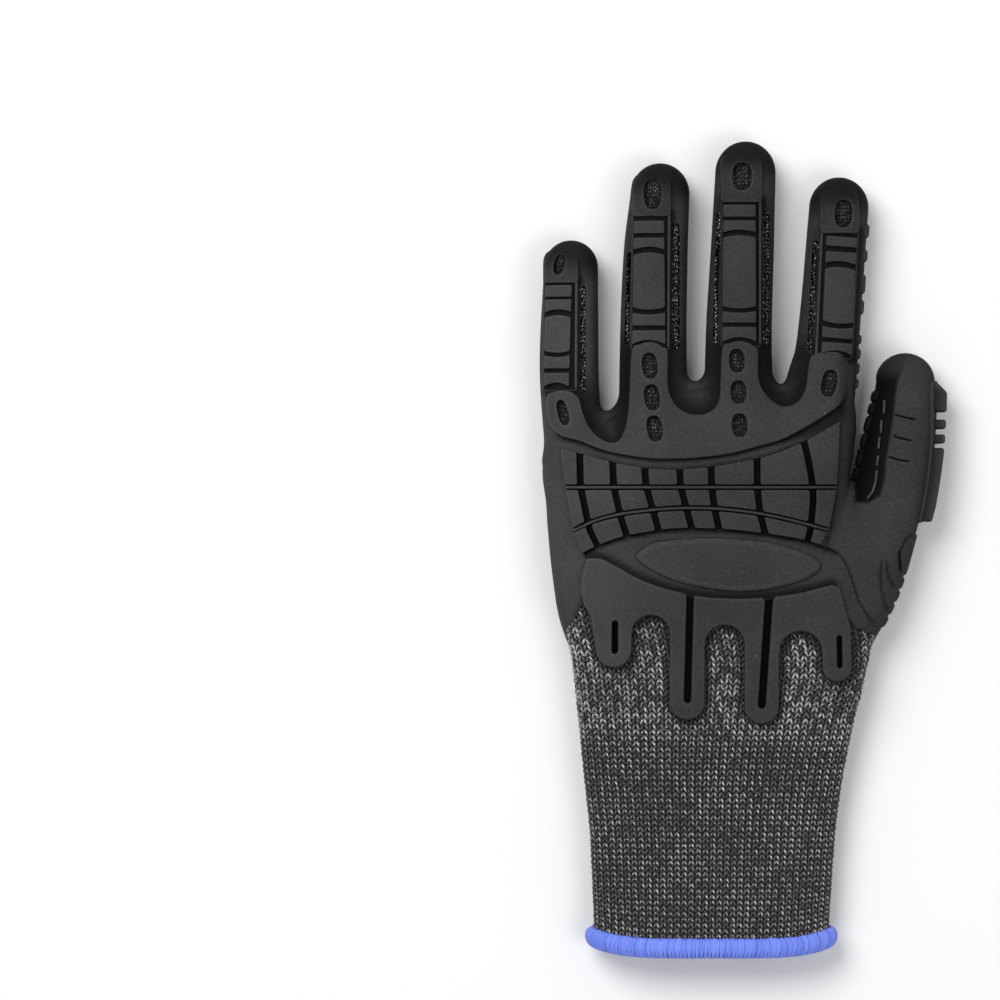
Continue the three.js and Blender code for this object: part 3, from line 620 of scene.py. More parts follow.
def even(loop, spacing, closed=True):
    """The same line with long steps divided."""
    loop = np.asarray(loop, float)
    ends = np.roll(loop, -1, axis=0) if closed else loop[1:]
    out = []
    for start, end in zip(loop, ends):
        count = max(1, int(np.ceil(np.linalg.norm(end - start) / spacing)))
        out.extend(start + (end - start) * np.arange(count)[:, None] / count)
    if not closed:
        out.append(loop[-1])
    return np.array(out)


def curved(line, steps=6, closed=False):
    """A smooth line through a few points."""
    line = np.asarray(line, float)
    if closed:
        padded = np.vstack([line[-1:], line, line[:2]])
    else:
        first = 2 * line[0] - line[1]
        last = 2 * line[-1] - line[-2]
        padded = np.vstack([first, line, last])
    out = []
    for i in range(len(padded) - 3):
        a, b, c, d = padded[i : i + 4]
        for step in range(steps):
            t = step / steps
            out.append(
                b
                + 0.5 * t * (c - a)
                + t * t * (a - 2.5 * b + 2 * c - 0.5 * d)
                + t**3 * 0.5 * (3 * b - 3 * c + d - a)
            )
    if not closed:
        out.append(line[-1])
    return np.array(out)


def rounded(loop, radius, steps=5):
    """The same outline with its corners rounded."""
    loop = np.asarray(loop, float)
    before = np.roll(loop, 1, axis=0)
    after = np.roll(loop, -1, axis=0)
    out = []
    for a, b, c in zip(before, loop, after):
        back, ahead = a - b, c - b
        reach_back = min(radius, 0.48 * np.linalg.norm(back))
        reach_ahead = min(radius, 0.48 * np.linalg.norm(ahead))
        start = b + back / np.linalg.norm(back) * reach_back
        end = b + ahead / np.linalg.norm(ahead) * reach_ahead
        for step in range(steps):
            t = step / (steps - 1)
            out.append(start * (1 - t) ** 2 + b * 2 * t * (1 - t) + end * t * t)
    return thinned(np.array(out), 0.05)


def thinned(loop, least):
    """The same outline without points that lie almost on each other."""
    kept = [loop[0]]
    for point in loop[1:]:
        if np.linalg.norm(point - kept[-1]) > least:
            kept.append(point)
    if np.linalg.norm(kept[0] - kept[-1]) < least:
        kept.pop()
    return np.array(kept)


def vent_outline(vent, margin):
    """The outline of a vent, a little square at its ends, made larger by a margin."""
    x, y, width, length, tilt = vent
    turn = np.linspace(0, 2 * math.pi, 36, endpoint=False)
    across = (width + margin) / 2 * np.sign(np.cos(turn)) * np.abs(np.cos(turn)) ** 0.8
    along = (length + margin) / 2 * np.sign(np.sin(turn)) * np.abs(np.sin(turn)) ** 0.8
    cos, sin = math.cos(tilt), math.sin(tilt)
    return np.column_stack([x + across * cos - along * sin, y + across * sin + along * cos])


def band(line, width, ends=5):
    """The outline of a strip of even width along a line, with round ends."""
    line = np.asarray(line, float)
    run = np.gradient(line, axis=0)
    run /= np.linalg.norm(run, axis=1)[:, None]
    across = np.column_stack([-run[:, 1], run[:, 0]]) * width / 2
    turns = np.linspace(0, math.pi, ends + 2)[1:-1]
    cap_end = [line[-1] + across[-1] * math.cos(t) + run[-1] * width / 2 * math.sin(t) for t in turns]
    cap_start = [line[0] - across[0] * math.cos(t) - run[0] * width / 2 * math.sin(t) for t in turns]
    return np.vstack([line + across, cap_end, (line - across)[::-1], cap_start])


def slot_outline(slot, margin, ends):
    """The outline of a side opening, made wider by a margin."""
    x1, y1, x2, y2, width = slot
    return band(even([(x1, y1), (x2, y2)], 2.0, closed=False), width + margin, ends)


def area(loop):
    x, y = loop[:, 0], loop[:, 1]
    return 0.5 * np.sum(x * np.roll(y, -1) - np.roll(x, -1) * y)


def inside(points, loops):
    """Which points lie inside the first outline and outside its holes."""
    result = np.zeros(len(points), bool)
    x, y = points[:, 0], points[:, 1]
    for loop in loops:
        for (ax, ay), (bx, by) in zip(loop, np.roll(loop, -1, axis=0)):
            if ay != by:
                cross = ((ay > y) != (by > y)) & (x < (bx - ax) * (y - ay) / (by - ay) + ax)
                result ^= cross
    return result


def edge_distance(points, loops, closed=True):
    """How far each point is from the nearest outline, or from the nearest open line."""
    nearest = np.full(len(points), 1e9)
    for loop in loops:
        loop = np.asarray(loop, float)
        run = np.roll(loop, -1, axis=0) - loop
        if not closed:
            run = run[:-1]
        length = (run**2).sum(1)
        for start, step, square in zip(loop, run, length):
            away = points - start
            t = np.clip(away @ step / square, 0, 1)
            gap = away - t[:, None] * step
            nearest = np.minimum(nearest, (gap**2).sum(1))
    return np.sqrt(nearest)


def loop_edges(loops):
    """Pairs of neighbours along the outlines, whose points stand in one list."""
    edges = []
    start = 0
    for loop in loops:
        count = len(loop)
        edges.extend((start + i, start + (i + 1) % count) for i in range(count))
        start += count
    return edges


def triangulated(points, loops):
    """Triangles over the points, kept inside the outlines, whose points come first."""
    flat = [Vector(p) for p in points]
    out, _, faces, _, _, _ = delaunay_2d_cdt(flat, loop_edges(loops), [], 0, 1e-7)
    if len(out) != len(points):
        raise RuntimeError("an outline crosses itself or has double points")
    faces = np.array(faces)
    middle = points[faces].mean(1)
    return faces[inside(middle, loops)]


def beside(points, line):
    """How far to the left of a line's run each point is, and its share of the line's length."""
    line = np.asarray(line, float)
    nearest = np.full(len(points), 1e9)
    signed = np.zeros(len(points))
    share = np.zeros(len(points))
    for i in range(len(line) - 1):
        step = line[i + 1] - line[i]
        away = points - line[i]
        t = np.clip(away @ step / (step @ step), 0, 1)
        gap = away - t[:, None] * step
        length = np.sqrt((gap**2).sum(1))
        side = np.sign(step[0] * away[:, 1] - step[1] * away[:, 0])
        closer = length < nearest
        nearest = np.where(closer, length, nearest)
        signed = np.where(closer, side * length, signed)
        share = np.where(closer, (i + t) / (len(line) - 1), share)
    return signed, share


def in_hollow(points):
    """From 0 outside the thumb's hollow to 1 inside it."""
    gap = edge_distance(points, [THUMB_HOLLOW])
    return smooth_step(np.where(inside(points, [THUMB_HOLLOW]), gap, -gap), -0.4, 0.5)


def back_relief(points):
    """How far the hollow sinks the coat and the scales raise it, and the painted shade in the hollow, in
    the grooves and along the scales' creases.
    """
    hollow = in_hollow(points)
    sink = HOLLOW_DEPTH * hollow * fade_out(points[:, 1], 51, 58)
    rise = np.zeros(len(points))
    shade_of = hollow * (0.94 - 0.7 * smooth_step(points[:, 1], 53, 62))
    near = edge_distance(points, BACK_GROOVES, closed=False)
    shade_of = np.maximum(shade_of, fade_out(near, 0.2, 0.4))
    for line, height, reach in SCALES:
        signed, share = beside(points, curved(line, 4))
        ends = smooth_step(share, 0.0, 0.12) * fade_out(share, 0.88, 1.0)
        step = smooth_step(signed, -0.4, 0.4) * fade_out(signed, 0.6, reach)
        rise = rise + height * step * ends
        crease = smooth_step(signed, -1.4, -0.3) * fade_out(signed, -0.1, 0.5)
        shade_of = np.maximum(shade_of, 0.7 * crease * ends)
    return sink, rise, shade_of


def relief(x, y, z):
    """How much the coat's face is raised or sunk by what is moulded into its back."""
    rise = np.zeros(np.shape(x))
    near = (x > 17) & (z > 3)
    if near.any():
        sink, scales, _ = back_relief(np.column_stack([x[near], y[near]]))
        top = smooth_step(z[near], 8, 11)
        flank = 0.6 * smooth_step(z[near], 3, 6) * smooth_step(y[near], 21, 29)
        rise[near] = scales * top - sink * (top + (1 - top) * flank)
    return rise


# Closed forms, as points and faces


def joined(shells):
    """One mesh of many shells, each given as points, faces and a value of painted light and dust for
    each point.
    """
    points, faces, crowns, start = [], [], [], 0
    for shell_points, shell_faces, shell_crowns in shells:
        points.append(shell_points)
        crowns.append(np.broadcast_to(shell_crowns, len(shell_points)))
        faces.extend(tuple(i + start for i in face) for face in shell_faces)
        start += len(shell_points)
    return np.vstack(points), faces, np.concatenate(crowns)


# Rings of points along a rounded edge, as shares of its width, and how much lighter or darker the face
# is from its rim inwards.
ROUND_STEPS = (0.12, 0.38, 0.7, 1.0)
EDGE_TONE = (0.8, 1.1, 1.5, 1.35, 1.0)


def filling(loops, width, spacing):
    """Points inside the outlines: rings along the rounded edges, then a grid over the rest."""
    parts = []
    for i, loop in enumerate(loops):
        turn = 1 if (area(loop) > 0) == (i == 0) else -1
        run = np.roll(loop, -1, axis=0) - np.roll(loop, 1, axis=0)
        run /= np.linalg.norm(run, axis=1)[:, None]
        inward = np.column_stack([-run[:, 1], run[:, 0]]) * turn
        for share in ROUND_STEPS:
            parts.append((loop + inward * width * share, 0.86 * width * share))
    edge = np.vstack(loops)
    (left, low), (right, high) = edge.min(0), edge.max(0)
    xs = np.arange(left, right, spacing)
    rows = enumerate(np.arange(low, high, spacing * 0.87))
    grid = np.array([(x + (j % 2) * spacing / 2, y) for j, y in rows for x in xs])
    parts.append((grid, width + 0.45 * spacing))
    kept = []
    for points, least in parts:
        points = points[inside(points, loops)]
        kept.append(points[edge_distance(points, loops) > least])
    return np.vstack(kept)


def raised(loops, lift, top, rounding, spacing=1.1, edge_step=0.7, light_and_dust=1.0, low=GUARD_SEAT):
    """A closed form over an outline: a face at the height top with rounded edges, down to low.

    A value for each point paints light and shade on the face and sets how dusty it is, from 0 for
    painted shade in grooves to 1 on top; more than 1 is a painted highlight.
    """
    width, fall = rounding
    loops = [even(loop, edge_step) for loop in loops]
    edge = np.vstack(loops)
    points = np.vstack([edge, filling(loops, width, spacing)])
    count = len(points)
    depth = np.clip(edge_distance(points, loops) / width, 0, 1)
    height = top(points) if callable(top) else top
    height = height - fall * (1 - np.sqrt(np.clip(1 - (1 - depth) ** 2, 0, 1)))
    face = lift(points, np.maximum(height, low + 0.1))
    seat = lift(edge, low)
    faces = [
        *triangulated(points, loops),
        *(triangulated(edge, loops)[:, ::-1] + count),
        *[(a, b, count + b, count + a) for a, b in loop_edges(loops)],
    ]
    lit_and_dusty = light_and_dust(points) if callable(light_and_dust) else light_and_dust
    lit_and_dusty = lit_and_dusty * np.interp(depth, (0.0, *ROUND_STEPS), EDGE_TONE)
    return np.vstack([face, seat]), faces, np.concatenate([lit_and_dusty, np.zeros(len(edge))])


def ridge(line, lift, width, top, light_and_dust=1.0, low=GUARD_SEAT):
    """A thin rounded rib along a line."""
    outline = band(even(curved(line, 4), 0.8, closed=False), width)
    rounding = (width * 0.42, width * 0.3)
    return raised([outline], lift, top, rounding, edge_step=0.9, light_and_dust=light_and_dust, low=low)


def tubes(lines, normals, wide, tall, sides=5):
    """Short closed tubes along many lines at once: lines is (count, points, 3)."""
    count, length, _ = lines.shape
    run = np.gradient(lines, axis=1)
    run /= np.linalg.norm(run, axis=2)[:, :, None]
    across = np.cross(run, normals)
    across /= np.linalg.norm(across, axis=2)[:, :, None]
    upward = np.cross(across, run)
    turns = 2 * math.pi * (np.arange(sides) + 0.5) / sides
    rings = (
        lines[:, :, None, :]
        + across[:, :, None, :] * (wide[:, :, None] * np.cos(turns))[..., None]
        + upward[:, :, None, :] * (tall[:, :, None] * np.sin(turns))[..., None]
    )
    points = rings.reshape(-1, 3)
    faces = []
    ring = np.arange(sides)
    after = (ring + 1) % sides
    for start in range(0, count * length * sides, length * sides):
        for step in range(length - 1):
            a = start + step * sides
            b = a + sides
            faces.extend(zip(a + ring, a + after, b + after, b + ring))
        faces.append(tuple(start + ring[::-1]))
        faces.append(tuple(start + (length - 1) * sides + ring))
    return points, faces


def prism(loop, low, high):
    count = len(loop)
    points = np.vstack([np.insert(loop, 2, z, axis=1) for z in (low, high)])
    walls = [(a, b, count + b, count + a) for a, b in loop_edges([loop])]
    return points, [range(count - 1, -1, -1), range(count, 2 * count), *walls], 0.0


# Blender meshes


def mesh_object(name, points, faces, values=None, label="light_and_dust"):
    """A mesh in the scene with its faces turned outwards, and a value for each point if given."""
    mesh = bpy.data.meshes.new(name)
    world = (np.asarray(points) + (CENTRING_X, 0, 0)) * MM
    mesh.from_pydata(world.tolist(), [], [tuple(int(i) for i in face) for face in faces])
    mesh.update()
    piece = bpy.data.objects.new(name, mesh)
    bpy.context.scene.collection.objects.link(piece)
    if values is not None:
        set_values(piece, values, label)
    shape = bmesh.new()
    shape.from_mesh(mesh)
    bmesh.ops.recalc_face_normals(shape, faces=shape.faces)
    shape.to_mesh(mesh)
    shape.free()
    return piece


def mesh_points(piece):
    """The points of a mesh in millimetres."""
    points = np.zeros(len(piece.data.vertices) * 3)
    piece.data.vertices.foreach_get("co", points)
    return points.reshape(-1, 3) / MM


def set_values(piece, values, label):
    """Keeps one value for each point of the mesh, for the materials to read."""
    known = piece.data.attributes
    attribute = known.get(label) or known.new(label, "FLOAT", "POINT")
    attribute.data.foreach_set("value", np.asarray(values, dtype=np.float32))


def shade(piece, degrees):
    """Smooth shading, apart from edges that are sharper than the angle."""
    piece.data.shade_smooth()
    if degrees < 180:
        piece.data.set_sharp_from_angle(angle=math.radians(degrees))


def dress(piece, material, replaced=()):
    piece.data.materials.clear()
    piece.data.materials.append(material)
    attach(piece, "root")
    if replaced:
        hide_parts(*replaced)


def add_piece(name, shells, degrees, material, replaced=()):
    """One finished piece of many closed shells."""
    piece = mesh_object(name, *joined(shells))
    shade(piece, degrees)
    dress(piece, material, replaced)


def cut(piece, cutter):
    """Cuts one closed form out of another and removes the cutter."""
    modifier = piece.modifiers.new("cut", "BOOLEAN")
    modifier.operation = "DIFFERENCE"
    modifier.solver = "MANIFOLD"
    modifier.object = cutter
    bpy.context.view_layer.update()
    graph = bpy.context.evaluated_depsgraph_get()
    result = bpy.data.meshes.new_from_object(piece.evaluated_get(graph))
    if not result.polygons:
        raise RuntimeError(f"cutting {piece.name} left nothing")
    piece.modifiers.clear()
    old = piece.data
    piece.data = result
    bpy.data.meshes.remove(old)
    bpy.data.objects.remove(cutter)


def level_form(name, distance, low, high, voxel):
    """A closed form where a distance is zero, meshed on a grid and drawn onto the exact face."""
    axes = [np.arange(a, b + voxel, voxel) for a, b in zip(low, high)]
    x, y, z = np.meshgrid(*axes, indexing="ij")
    values = distance(x.ravel(), y.ravel(), z.ravel()).reshape(x.shape).astype(np.float32)
    grid = openvdb.FloatGrid(background=float(values.max()))
    grid.copyFromArray(values)
    grid.transform = openvdb.createLinearTransform(voxelSize=voxel)
    points, quads = grid.convertToQuads(isovalue=0.0)
    points = points.astype(float) + np.array(low)
    for _ in range(2):
        slope = slope_of(distance, points)
        square = np.maximum((slope**2).sum(1), 0.2)
        move = slope * (distance(*points.T) / square)[:, None]
        points -= np.clip(move, -0.5 * voxel, 0.5 * voxel)
    return mesh_object(name, points, quads[:, ::-1])


# The rubber coat


def wrist_edge(x, z):
    """Where the coat ends towards the wrist: long and arched on the palm, short on the back."""
    palm = PALM_EDGE + WRIST_ARCH * (x - WRIST_MIDDLE) ** 2
    left = BACK_EDGE - 11.5 * smooth_step(-x, 49, 58)
    right = BACK_EDGE - 10.5 * smooth_step(x, 26, 31) - 4.0 * smooth_step(x, 32, 44)
    back = np.where(x < WRIST_MIDDLE, left, right)
    share = smooth_step(z, 4, 14)
    return palm * (1 - share) + back * share


def coat_outside(x, y, z):
    edge = wrist_edge(x, z) - y
    height = between(COAT_LIP, COAT_FACE, smooth_step(-edge, 0, 5)) + relief(x, y, z)
    arch = 2 * WRIST_ARCH * (x - WRIST_MIDDLE)
    slant = np.sqrt(1 + arch**2 + smooth_step(np.abs(x + 8), 32, 40))
    return smooth_max(wall_distance(height, x, y, z), edge / slant, 0.8)


def coat_inside(x, y, z):
    return smooth_max(wall_distance(COAT_INSIDE, x, y, z), COAT_HOLLOW_END - y, 1.0)


def dimple_cutter(x, y):
    """A ball that leaves a shallow dimple in the palm side."""
    shape = bmesh.new()
    bmesh.ops.create_uvsphere(shape, u_segments=24, v_segments=16, radius=DIMPLE_RADIUS)
    points = np.array([v.co for v in shape.verts])
    faces = [tuple(v.index for v in f.verts) for f in shape.faces]
    shape.free()
    return points + (x, y, lowest(y, COAT_FACE) - DIMPLE_RADIUS + DIMPLE_DEPTH), faces, 0.0


def groove_cutter(line):
    """A round cutter along a line that leaves a groove in the back of the coat."""
    spots = on_back(even(curved(line, 4), 1.0, closed=False), COAT_FACE + GROOVE_RISE)
    normals = np.cross(np.gradient(spots, axis=0), (0.37, 0.11, 0.29))
    normals /= np.linalg.norm(normals, axis=1)[:, None]
    width = np.full((1, len(spots)), GROOVE_RADIUS)
    width[:, 0] = width[:, -1] = GROOVE_RADIUS * 0.3
    return (*tubes(spots[None], normals[None], width, width, sides=10), 0.0)


def opening_cutters():
    """What is cut out of the coat: vents, side openings, dimples and grooves."""
    shells = [prism(vent_outline(vent, 0.5), VENT_CUT_LOW, CUT_TOP) for vent in VENTS]
    shells += [prism(slot_outline(slot, 0, 7), SLOT_CUT_LOW, CUT_TOP) for slot in SIDE_SLOTS]
    shells += [dimple_cutter(x, y) for x, y in DIMPLES]
    shells += [groove_cutter(line) for line in BACK_GROOVES]
    return mesh_object("cutter", *joined(shells))


def palm_painted_shade(points):
    """Painted shade on the coat beside the grip pads, in their slits and in the crease by the thumb."""
    pads = [PALM_PANEL_OUTLINE, LEAF, PETAL, *LATTICE]
    pads += [ladder_outline(*ladder) for ladder in LADDERS]
    light_and_dust = 1 - 0.75 * fade_out(edge_distance(points, pads), 0.3, 1.4)
    light_and_dust *= smooth_step(edge_distance(points, SHADED_LINES, closed=False), 1.0, 2.4)
    crease = edge_distance(points, [THUMB_CREASE], closed=False)
    return light_and_dust * (1 - 0.85 * fade_out(crease, 1.0, 5.0))


def shade_near_guards(flat):
    """How much painted shade the coat has beside the guards and in the webs, from 0 to 1."""
    x, y = flat.T
    strips = edge_distance(flat, [strip_floor(strip) for strip in STRIPS.values()])
    left_edges = np.array([strip.left[0] for strip in STRIPS.values()])
    left_of_strip = (np.abs(x[:, None] - left_edges + 2.5) < 2.5).any(1)
    dark = np.where(left_of_strip, 0.4, 0.8) * fade_out(strips, 0.6, 2.6)
    slab = edge_distance(flat, [lens_floor_outline()])
    free = smooth_step(x, 27, 31) * smooth_step(-y, -3, 1)
    free = np.maximum(free, fade_out(x, -52, -46))
    dark = np.maximum(dark, 0.5 * fade_out(slab, 0.2, 1.3) * (1 - free))
    plate = edge_distance(flat, [plate_outline(False)])
    dark = np.maximum(dark, 0.5 * fade_out(plate, 0.2, 1.2) * smooth_step(x, -50, -44))
    pad = edge_distance(flat, [KNUCKLE_OUTLINE])
    web = smooth_step(y, 33, 40)
    between_fingers = smooth_step(x, -63, -58) * fade_out(x, 31, 35)
    return np.maximum(dark, 0.85 * fade_out(pad, 0.3, 1.6 + 8.4 * web) * between_fingers)


def coat_painted_shade(piece):
    """Painted shade on the coat beside the guards, in the webs, round the fingertips and in its relief.
    """
    points = mesh_points(piece) - (CENTRING_X, 0, 0)
    x, y, z = points.T
    flat = points[:, :2]
    back = smooth_step(z, 9, 12)
    light_and_dust = 1 - shade_near_guards(flat) * back
    for name in LONG_FINGERS:
        tip, rows = FINGERS[name]
        _, left, right = rows[-1][:3]
        darker = light_and_dust * (1 - 0.78 * fade_out(tip - y, 5.0, 15.0) * back)
        light_and_dust = np.where((x > left - 4) & (x < right + 4), darker, light_and_dust)
    sink, _, shade_of = back_relief(flat)
    light_and_dust = light_and_dust * (1 - shade_of * np.where(sink > 0, smooth_step(z, 4, 7), back))
    below = z < 8
    light_and_dust[below] *= palm_painted_shade(flat[below])
    set_values(piece, light_and_dust, "light_and_dust")


def build_coat(material, voxel):
    low, high = (-70, -62, -2), (70, 136, 31)
    coat = level_form("rubber_coat", coat_outside, low, high, voxel)
    hollow = level_form("hollow", coat_inside, (-70, -70, -1), high, voxel * 1.5)
    cut(coat, hollow)
    cut(coat, opening_cutters())
    coat_painted_shade(coat)
    shade(coat, 38)
    nodes = ["palm_coat", *[f"{name}_coat" for name in FINGERS]]
    dress(coat, material, nodes)


# Raised guards

VENT_RIM = -0.6
GUARD_ANGLE = 50

# Rounded edges: how wide they are and how far they fall.
SLAB_EDGE = (0.7, 0.5)
PAD_EDGE = (0.9, 0.7)
BAR_EDGE = (0.6, 0.6)
KNUCKLE_EDGE = (0.8, 0.7)
FLOOR_EDGE = (0.6, 0.4)
BOSS_EDGE = (2.2, 1.1)
PLATE_EDGE = (1.0, 0.8)
BACKING_EDGE = (0.4, 0.3)


def bar_outline(strip, bar):
    """The outline of one bar, whose two ends may bow outwards or inwards."""
    start, end, bow_start, bow_end = bar
    first = strip.pad[1]
    u = np.linspace(-1, 1, 13)
    ends = []
    for y, bow in ((start, bow_start), (end, -bow_end)):
        share = (first - y) / (first - strip.floor_end)
        left = between(*strip.left, share)
        right = between(*strip.right, share)
        x = (left + right) / 2 + u * (right - left) / 2
        ends.append(np.column_stack([x, y + bow * (1 - u**2) + strip.slant * (x - x.mean())]))
    return rounded(np.vstack([ends[0], ends[1][::-1]]), 0.9, 4)


def ladder_outline(x, start, end):
    """The outline of one grip bar on the palm side of a finger."""
    left, right = x - LADDER_HALF, x + LADDER_HALF
    strip = Strip((left, left), (right, right), None, (0, start), end)
    return bar_outline(strip, (start, end, LADDER_BOW, -LADDER_BOW))


def strip_floor(strip):
    """The corners of the slab under a finger strip."""
    left, right, rim = strip.left, strip.right, strip.rim
    start, end = strip.pad[1] + 1, strip.floor_end
    return np.array([
        (min(rim[0], left[0]) - 0.7, start),
        (max(rim[0], right[0]) + 0.7, start),
        (max(rim[1] + 0.6, right[1] + 0.5), end),
        (min(rim[1] - 0.6, left[1] - 0.5), end),
    ])


def finger_guard_shells(strip, bars, vent):
    """The slab, the tip pad with its vent, the bars and the rim line of one finger."""
    floor = strip_floor(strip)
    slab = rounded(floor, 1.2)

    # Painted shade on the slab between the bars, lighter along its rounded edge.
    def slab_shade(points):
        return 0.12 + 0.6 * fade_out(edge_distance(points, [slab]), 0.3, 0.65)

    shells = [raised([slab], on_back, GUARD_FLOOR, SLAB_EDGE, light_and_dust=slab_shade)]
    left, right = floor[:2, 0]
    start, end = strip.pad
    corners = [(left, end), (left, start), (right, start), (right, end)]
    outline = np.vstack([
        rounded(corners, (right - left) * 0.44, 9)[9:27],
        rounded(corners[2:] + corners[:2], 1.3)[5:15],
    ])

    def pad_top(points):
        fade = smooth_step(start - points[:, 1], 0.0, 9.0)
        return COAT_FACE - 0.1 + (GUARD_TOP - COAT_FACE) * fade

    # Painted shade on the tip pad, darkest towards the fingertip.
    def pad_shade(points):
        return 0.2 + 0.55 * smooth_step(start - points[:, 1], 1.5, 11.0)

    loops = [outline, vent_outline(vent, VENT_RIM)]
    shells.append(raised(loops, on_back, pad_top, PAD_EDGE, 0.9, 0.5, pad_shade))
    for bar in bars:
        shells.append(raised([bar_outline(strip, bar)], on_back, GUARD_TOP, BAR_EDGE))
    rim_line = [(strip.rim[0], end + 0.5), (strip.rim[1], strip.floor_end + 1.5)]
    shells.append(ridge(rim_line, on_back, 0.8, GUARD_FLOOR + 0.9))
    return shells


def add_guard(name, shells, material, replaced):
    add_piece(name, shells, GUARD_ANGLE, material, [replaced])


def build_finger_guards(material):
    for name, vent in zip(LONG_FINGERS, VENTS):
        shells = finger_guard_shells(STRIPS[name], BARS[name], vent)
        add_guard(f"{name}_strip", shells, material, f"{name}_guard")


def knuckle_top(points):
    x = points[:, 0]
    fade = smooth_step(x, -65.5, -61.0) * fade_out(x, 29.5, 34.0)
    return between(COAT_FACE, KNUCKLE_TOP, fade)


def build_knuckle_guard(material):
    outline = thinned(curved(KNUCKLE_OUTLINE, 3, closed=True), 0.3)
    loops = [outline, *[vent_outline(vent, VENT_RIM) for vent in VENTS[len(LONG_FINGERS):]]]
    shell = raised(loops, on_back, knuckle_top, KNUCKLE_EDGE, 1.2)
    add_guard("knuckle_pad", [shell], material, "knuckle_guard")


def column_x(column, y, shift=0.0):
    """The x of a column line at each y, moved sideways by the shift."""
    column = np.array(column)[::-1]
    return np.interp(y, column[:, 1], column[:, 0]) + shift


def row_y(row, x, shift=0.0):
    """The y of a row line at each x, moved by the shift."""
    row = np.array(row)
    return np.interp(x, row[:, 0], row[:, 1]) + shift


def corner(column, column_shift, row, row_shift=0.0):
    """Where a column line and a row line cross."""
    x, y = 0.0, 10.0
    for _ in range(12):
        x = column_x(column, y, column_shift)
        y = row_y(row, x, row_shift)
    return float(x), float(y)


def tile_outline(columns, shifts, rows, row_shifts):
    """The outline of one tile between two column lines and two row lines."""
    sides = []
    for column, shift, upwards in zip(columns, shifts, (True, False)):
        top, low = (corner(column, shift, row, by)[1] for row, by in zip(rows, row_shifts))
        ys = np.linspace(low, top, 5) if upwards else np.linspace(top, low, 5)
        sides.append(np.column_stack([column_x(column, ys, shift), ys]))
    loop = []
    for i, row in enumerate(rows):
        xs = np.linspace(sides[i][-1][0], sides[1 - i][0][0], 7)[1:-1]
        loop += [sides[i], np.column_stack([xs, row_y(row, xs, row_shifts[i])])]
    return rounded(np.vstack(loop), 0.8, 4)


def tile_shells():
    """Three rows of eight tiles, with a ridge in the groove below the first and the second row."""
    rows = (curved(BAND_LOW, 4), ROW_ONE_END, curved(ROW_TWO_END, 4), curved(ROW_THREE_END, 4))
    aside = COLUMN_WIDTH / 2
    half = ROW_GROOVE / 2
    shells = []
    for r, row_shifts in enumerate(((0, half), (-half, half), (-half, 0))):
        for c in range(8):
            shifts = (aside if c > 0 else 0, -aside if c < 7 else 0)
            outline = tile_outline(COLUMNS[c : c + 2], shifts, rows[r : r + 2], row_shifts)
            shells.append(raised([outline], on_back, GUARD_TOP, BAR_EDGE))
    for row in rows[1:3]:
        xs = np.linspace(corner(COLUMNS[0], 0.4, row)[0], corner(COLUMNS[8], -0.4, row)[0], 12)
        line = np.column_stack([xs, row_y(row, xs)])
        shells.append(ridge(line, on_back, 0.85, RIDGE_TOP))
    return shells


def half_circle(left, right, level, turn):
    """Points of a half circle from left to right, bulging up (1) or down (-1)."""
    angle = np.linspace(math.pi, 0, 11)
    radius = (right - left) / 2
    x = (left + right) / 2 + radius * np.cos(angle)
    return np.column_stack([x, level + turn * radius * np.sin(angle)])


def slot_notch(tongue):
    """The sides of a slot that is open at its top, from its left side round to its right."""
    (top_x, top_y), (end_x, end_y) = tongue.slot
    half = tongue.slot_width / 2
    angle = np.linspace(math.pi, 2 * math.pi, 7)
    bend = np.column_stack([end_x + half * np.cos(angle), end_y + half + half * np.sin(angle)])
    return np.vstack([[(top_x - half, top_y + 0.1)], bend, [(top_x + half, top_y - 0.1)]])


def plate_outline(with_slots):
    """The plate below the lens, with its tongues and the arches between them."""
    parts = []
    lens = curved(LENS_LOW, 3)
    for tongue in TONGUES[1:3] if with_slots else ():
        top_x = tongue.slot[0][0]
        reach = tongue.slot_width / 2 + 0.25
        parts += [lens[lens[:, 0] < top_x - reach], slot_notch(tongue)]
        lens = lens[lens[:, 0] > top_x + reach]
    parts += [lens, PLATE_RIGHT]
    for i in range(3, -1, -1):
        left, right, end = TONGUES[i][:3]
        parts.append(half_circle(left, right, end + (right - left) / 2, -1)[::-1])
        if i:
            arch_left = TONGUES[i - 1].right
            radius = (left - arch_left) / 2
            parts.append(half_circle(arch_left, left, ARCH_TOPS[i - 1] - radius, 1)[::-1])
    parts.append(PLATE_LEFT[::-1])
    return thinned(np.vstack(parts), 0.25)


def plate_shells():
    """The plate with its four slots, and the backing in painted shade that shows in them."""
    loops = [plate_outline(True)]
    for tongue in (TONGUES[0], TONGUES[3]):
        loops.append(band(even(tongue.slot, 1.5, closed=False), tongue.slot_width))
    plate = raised(loops, on_back, GUARD_TOP, PLATE_EDGE, low=PLATE_SEAT)
    loops = [plate_outline(False)]
    return [plate, raised(loops, on_back, COAT_FACE, BACKING_EDGE, 1.6, light_and_dust=0.0, low=PLATE_SEAT)]


def lens_floor_outline():
    """The slab under the tiles and the lens."""
    low = curved(LENS_LOW, 2)[::-1] - (0, SLAB_REACH)
    return thinned(np.vstack([curved(BAND_LOW, 3), SLAB_RIGHT, low, SLAB_LEFT]), 0.4)


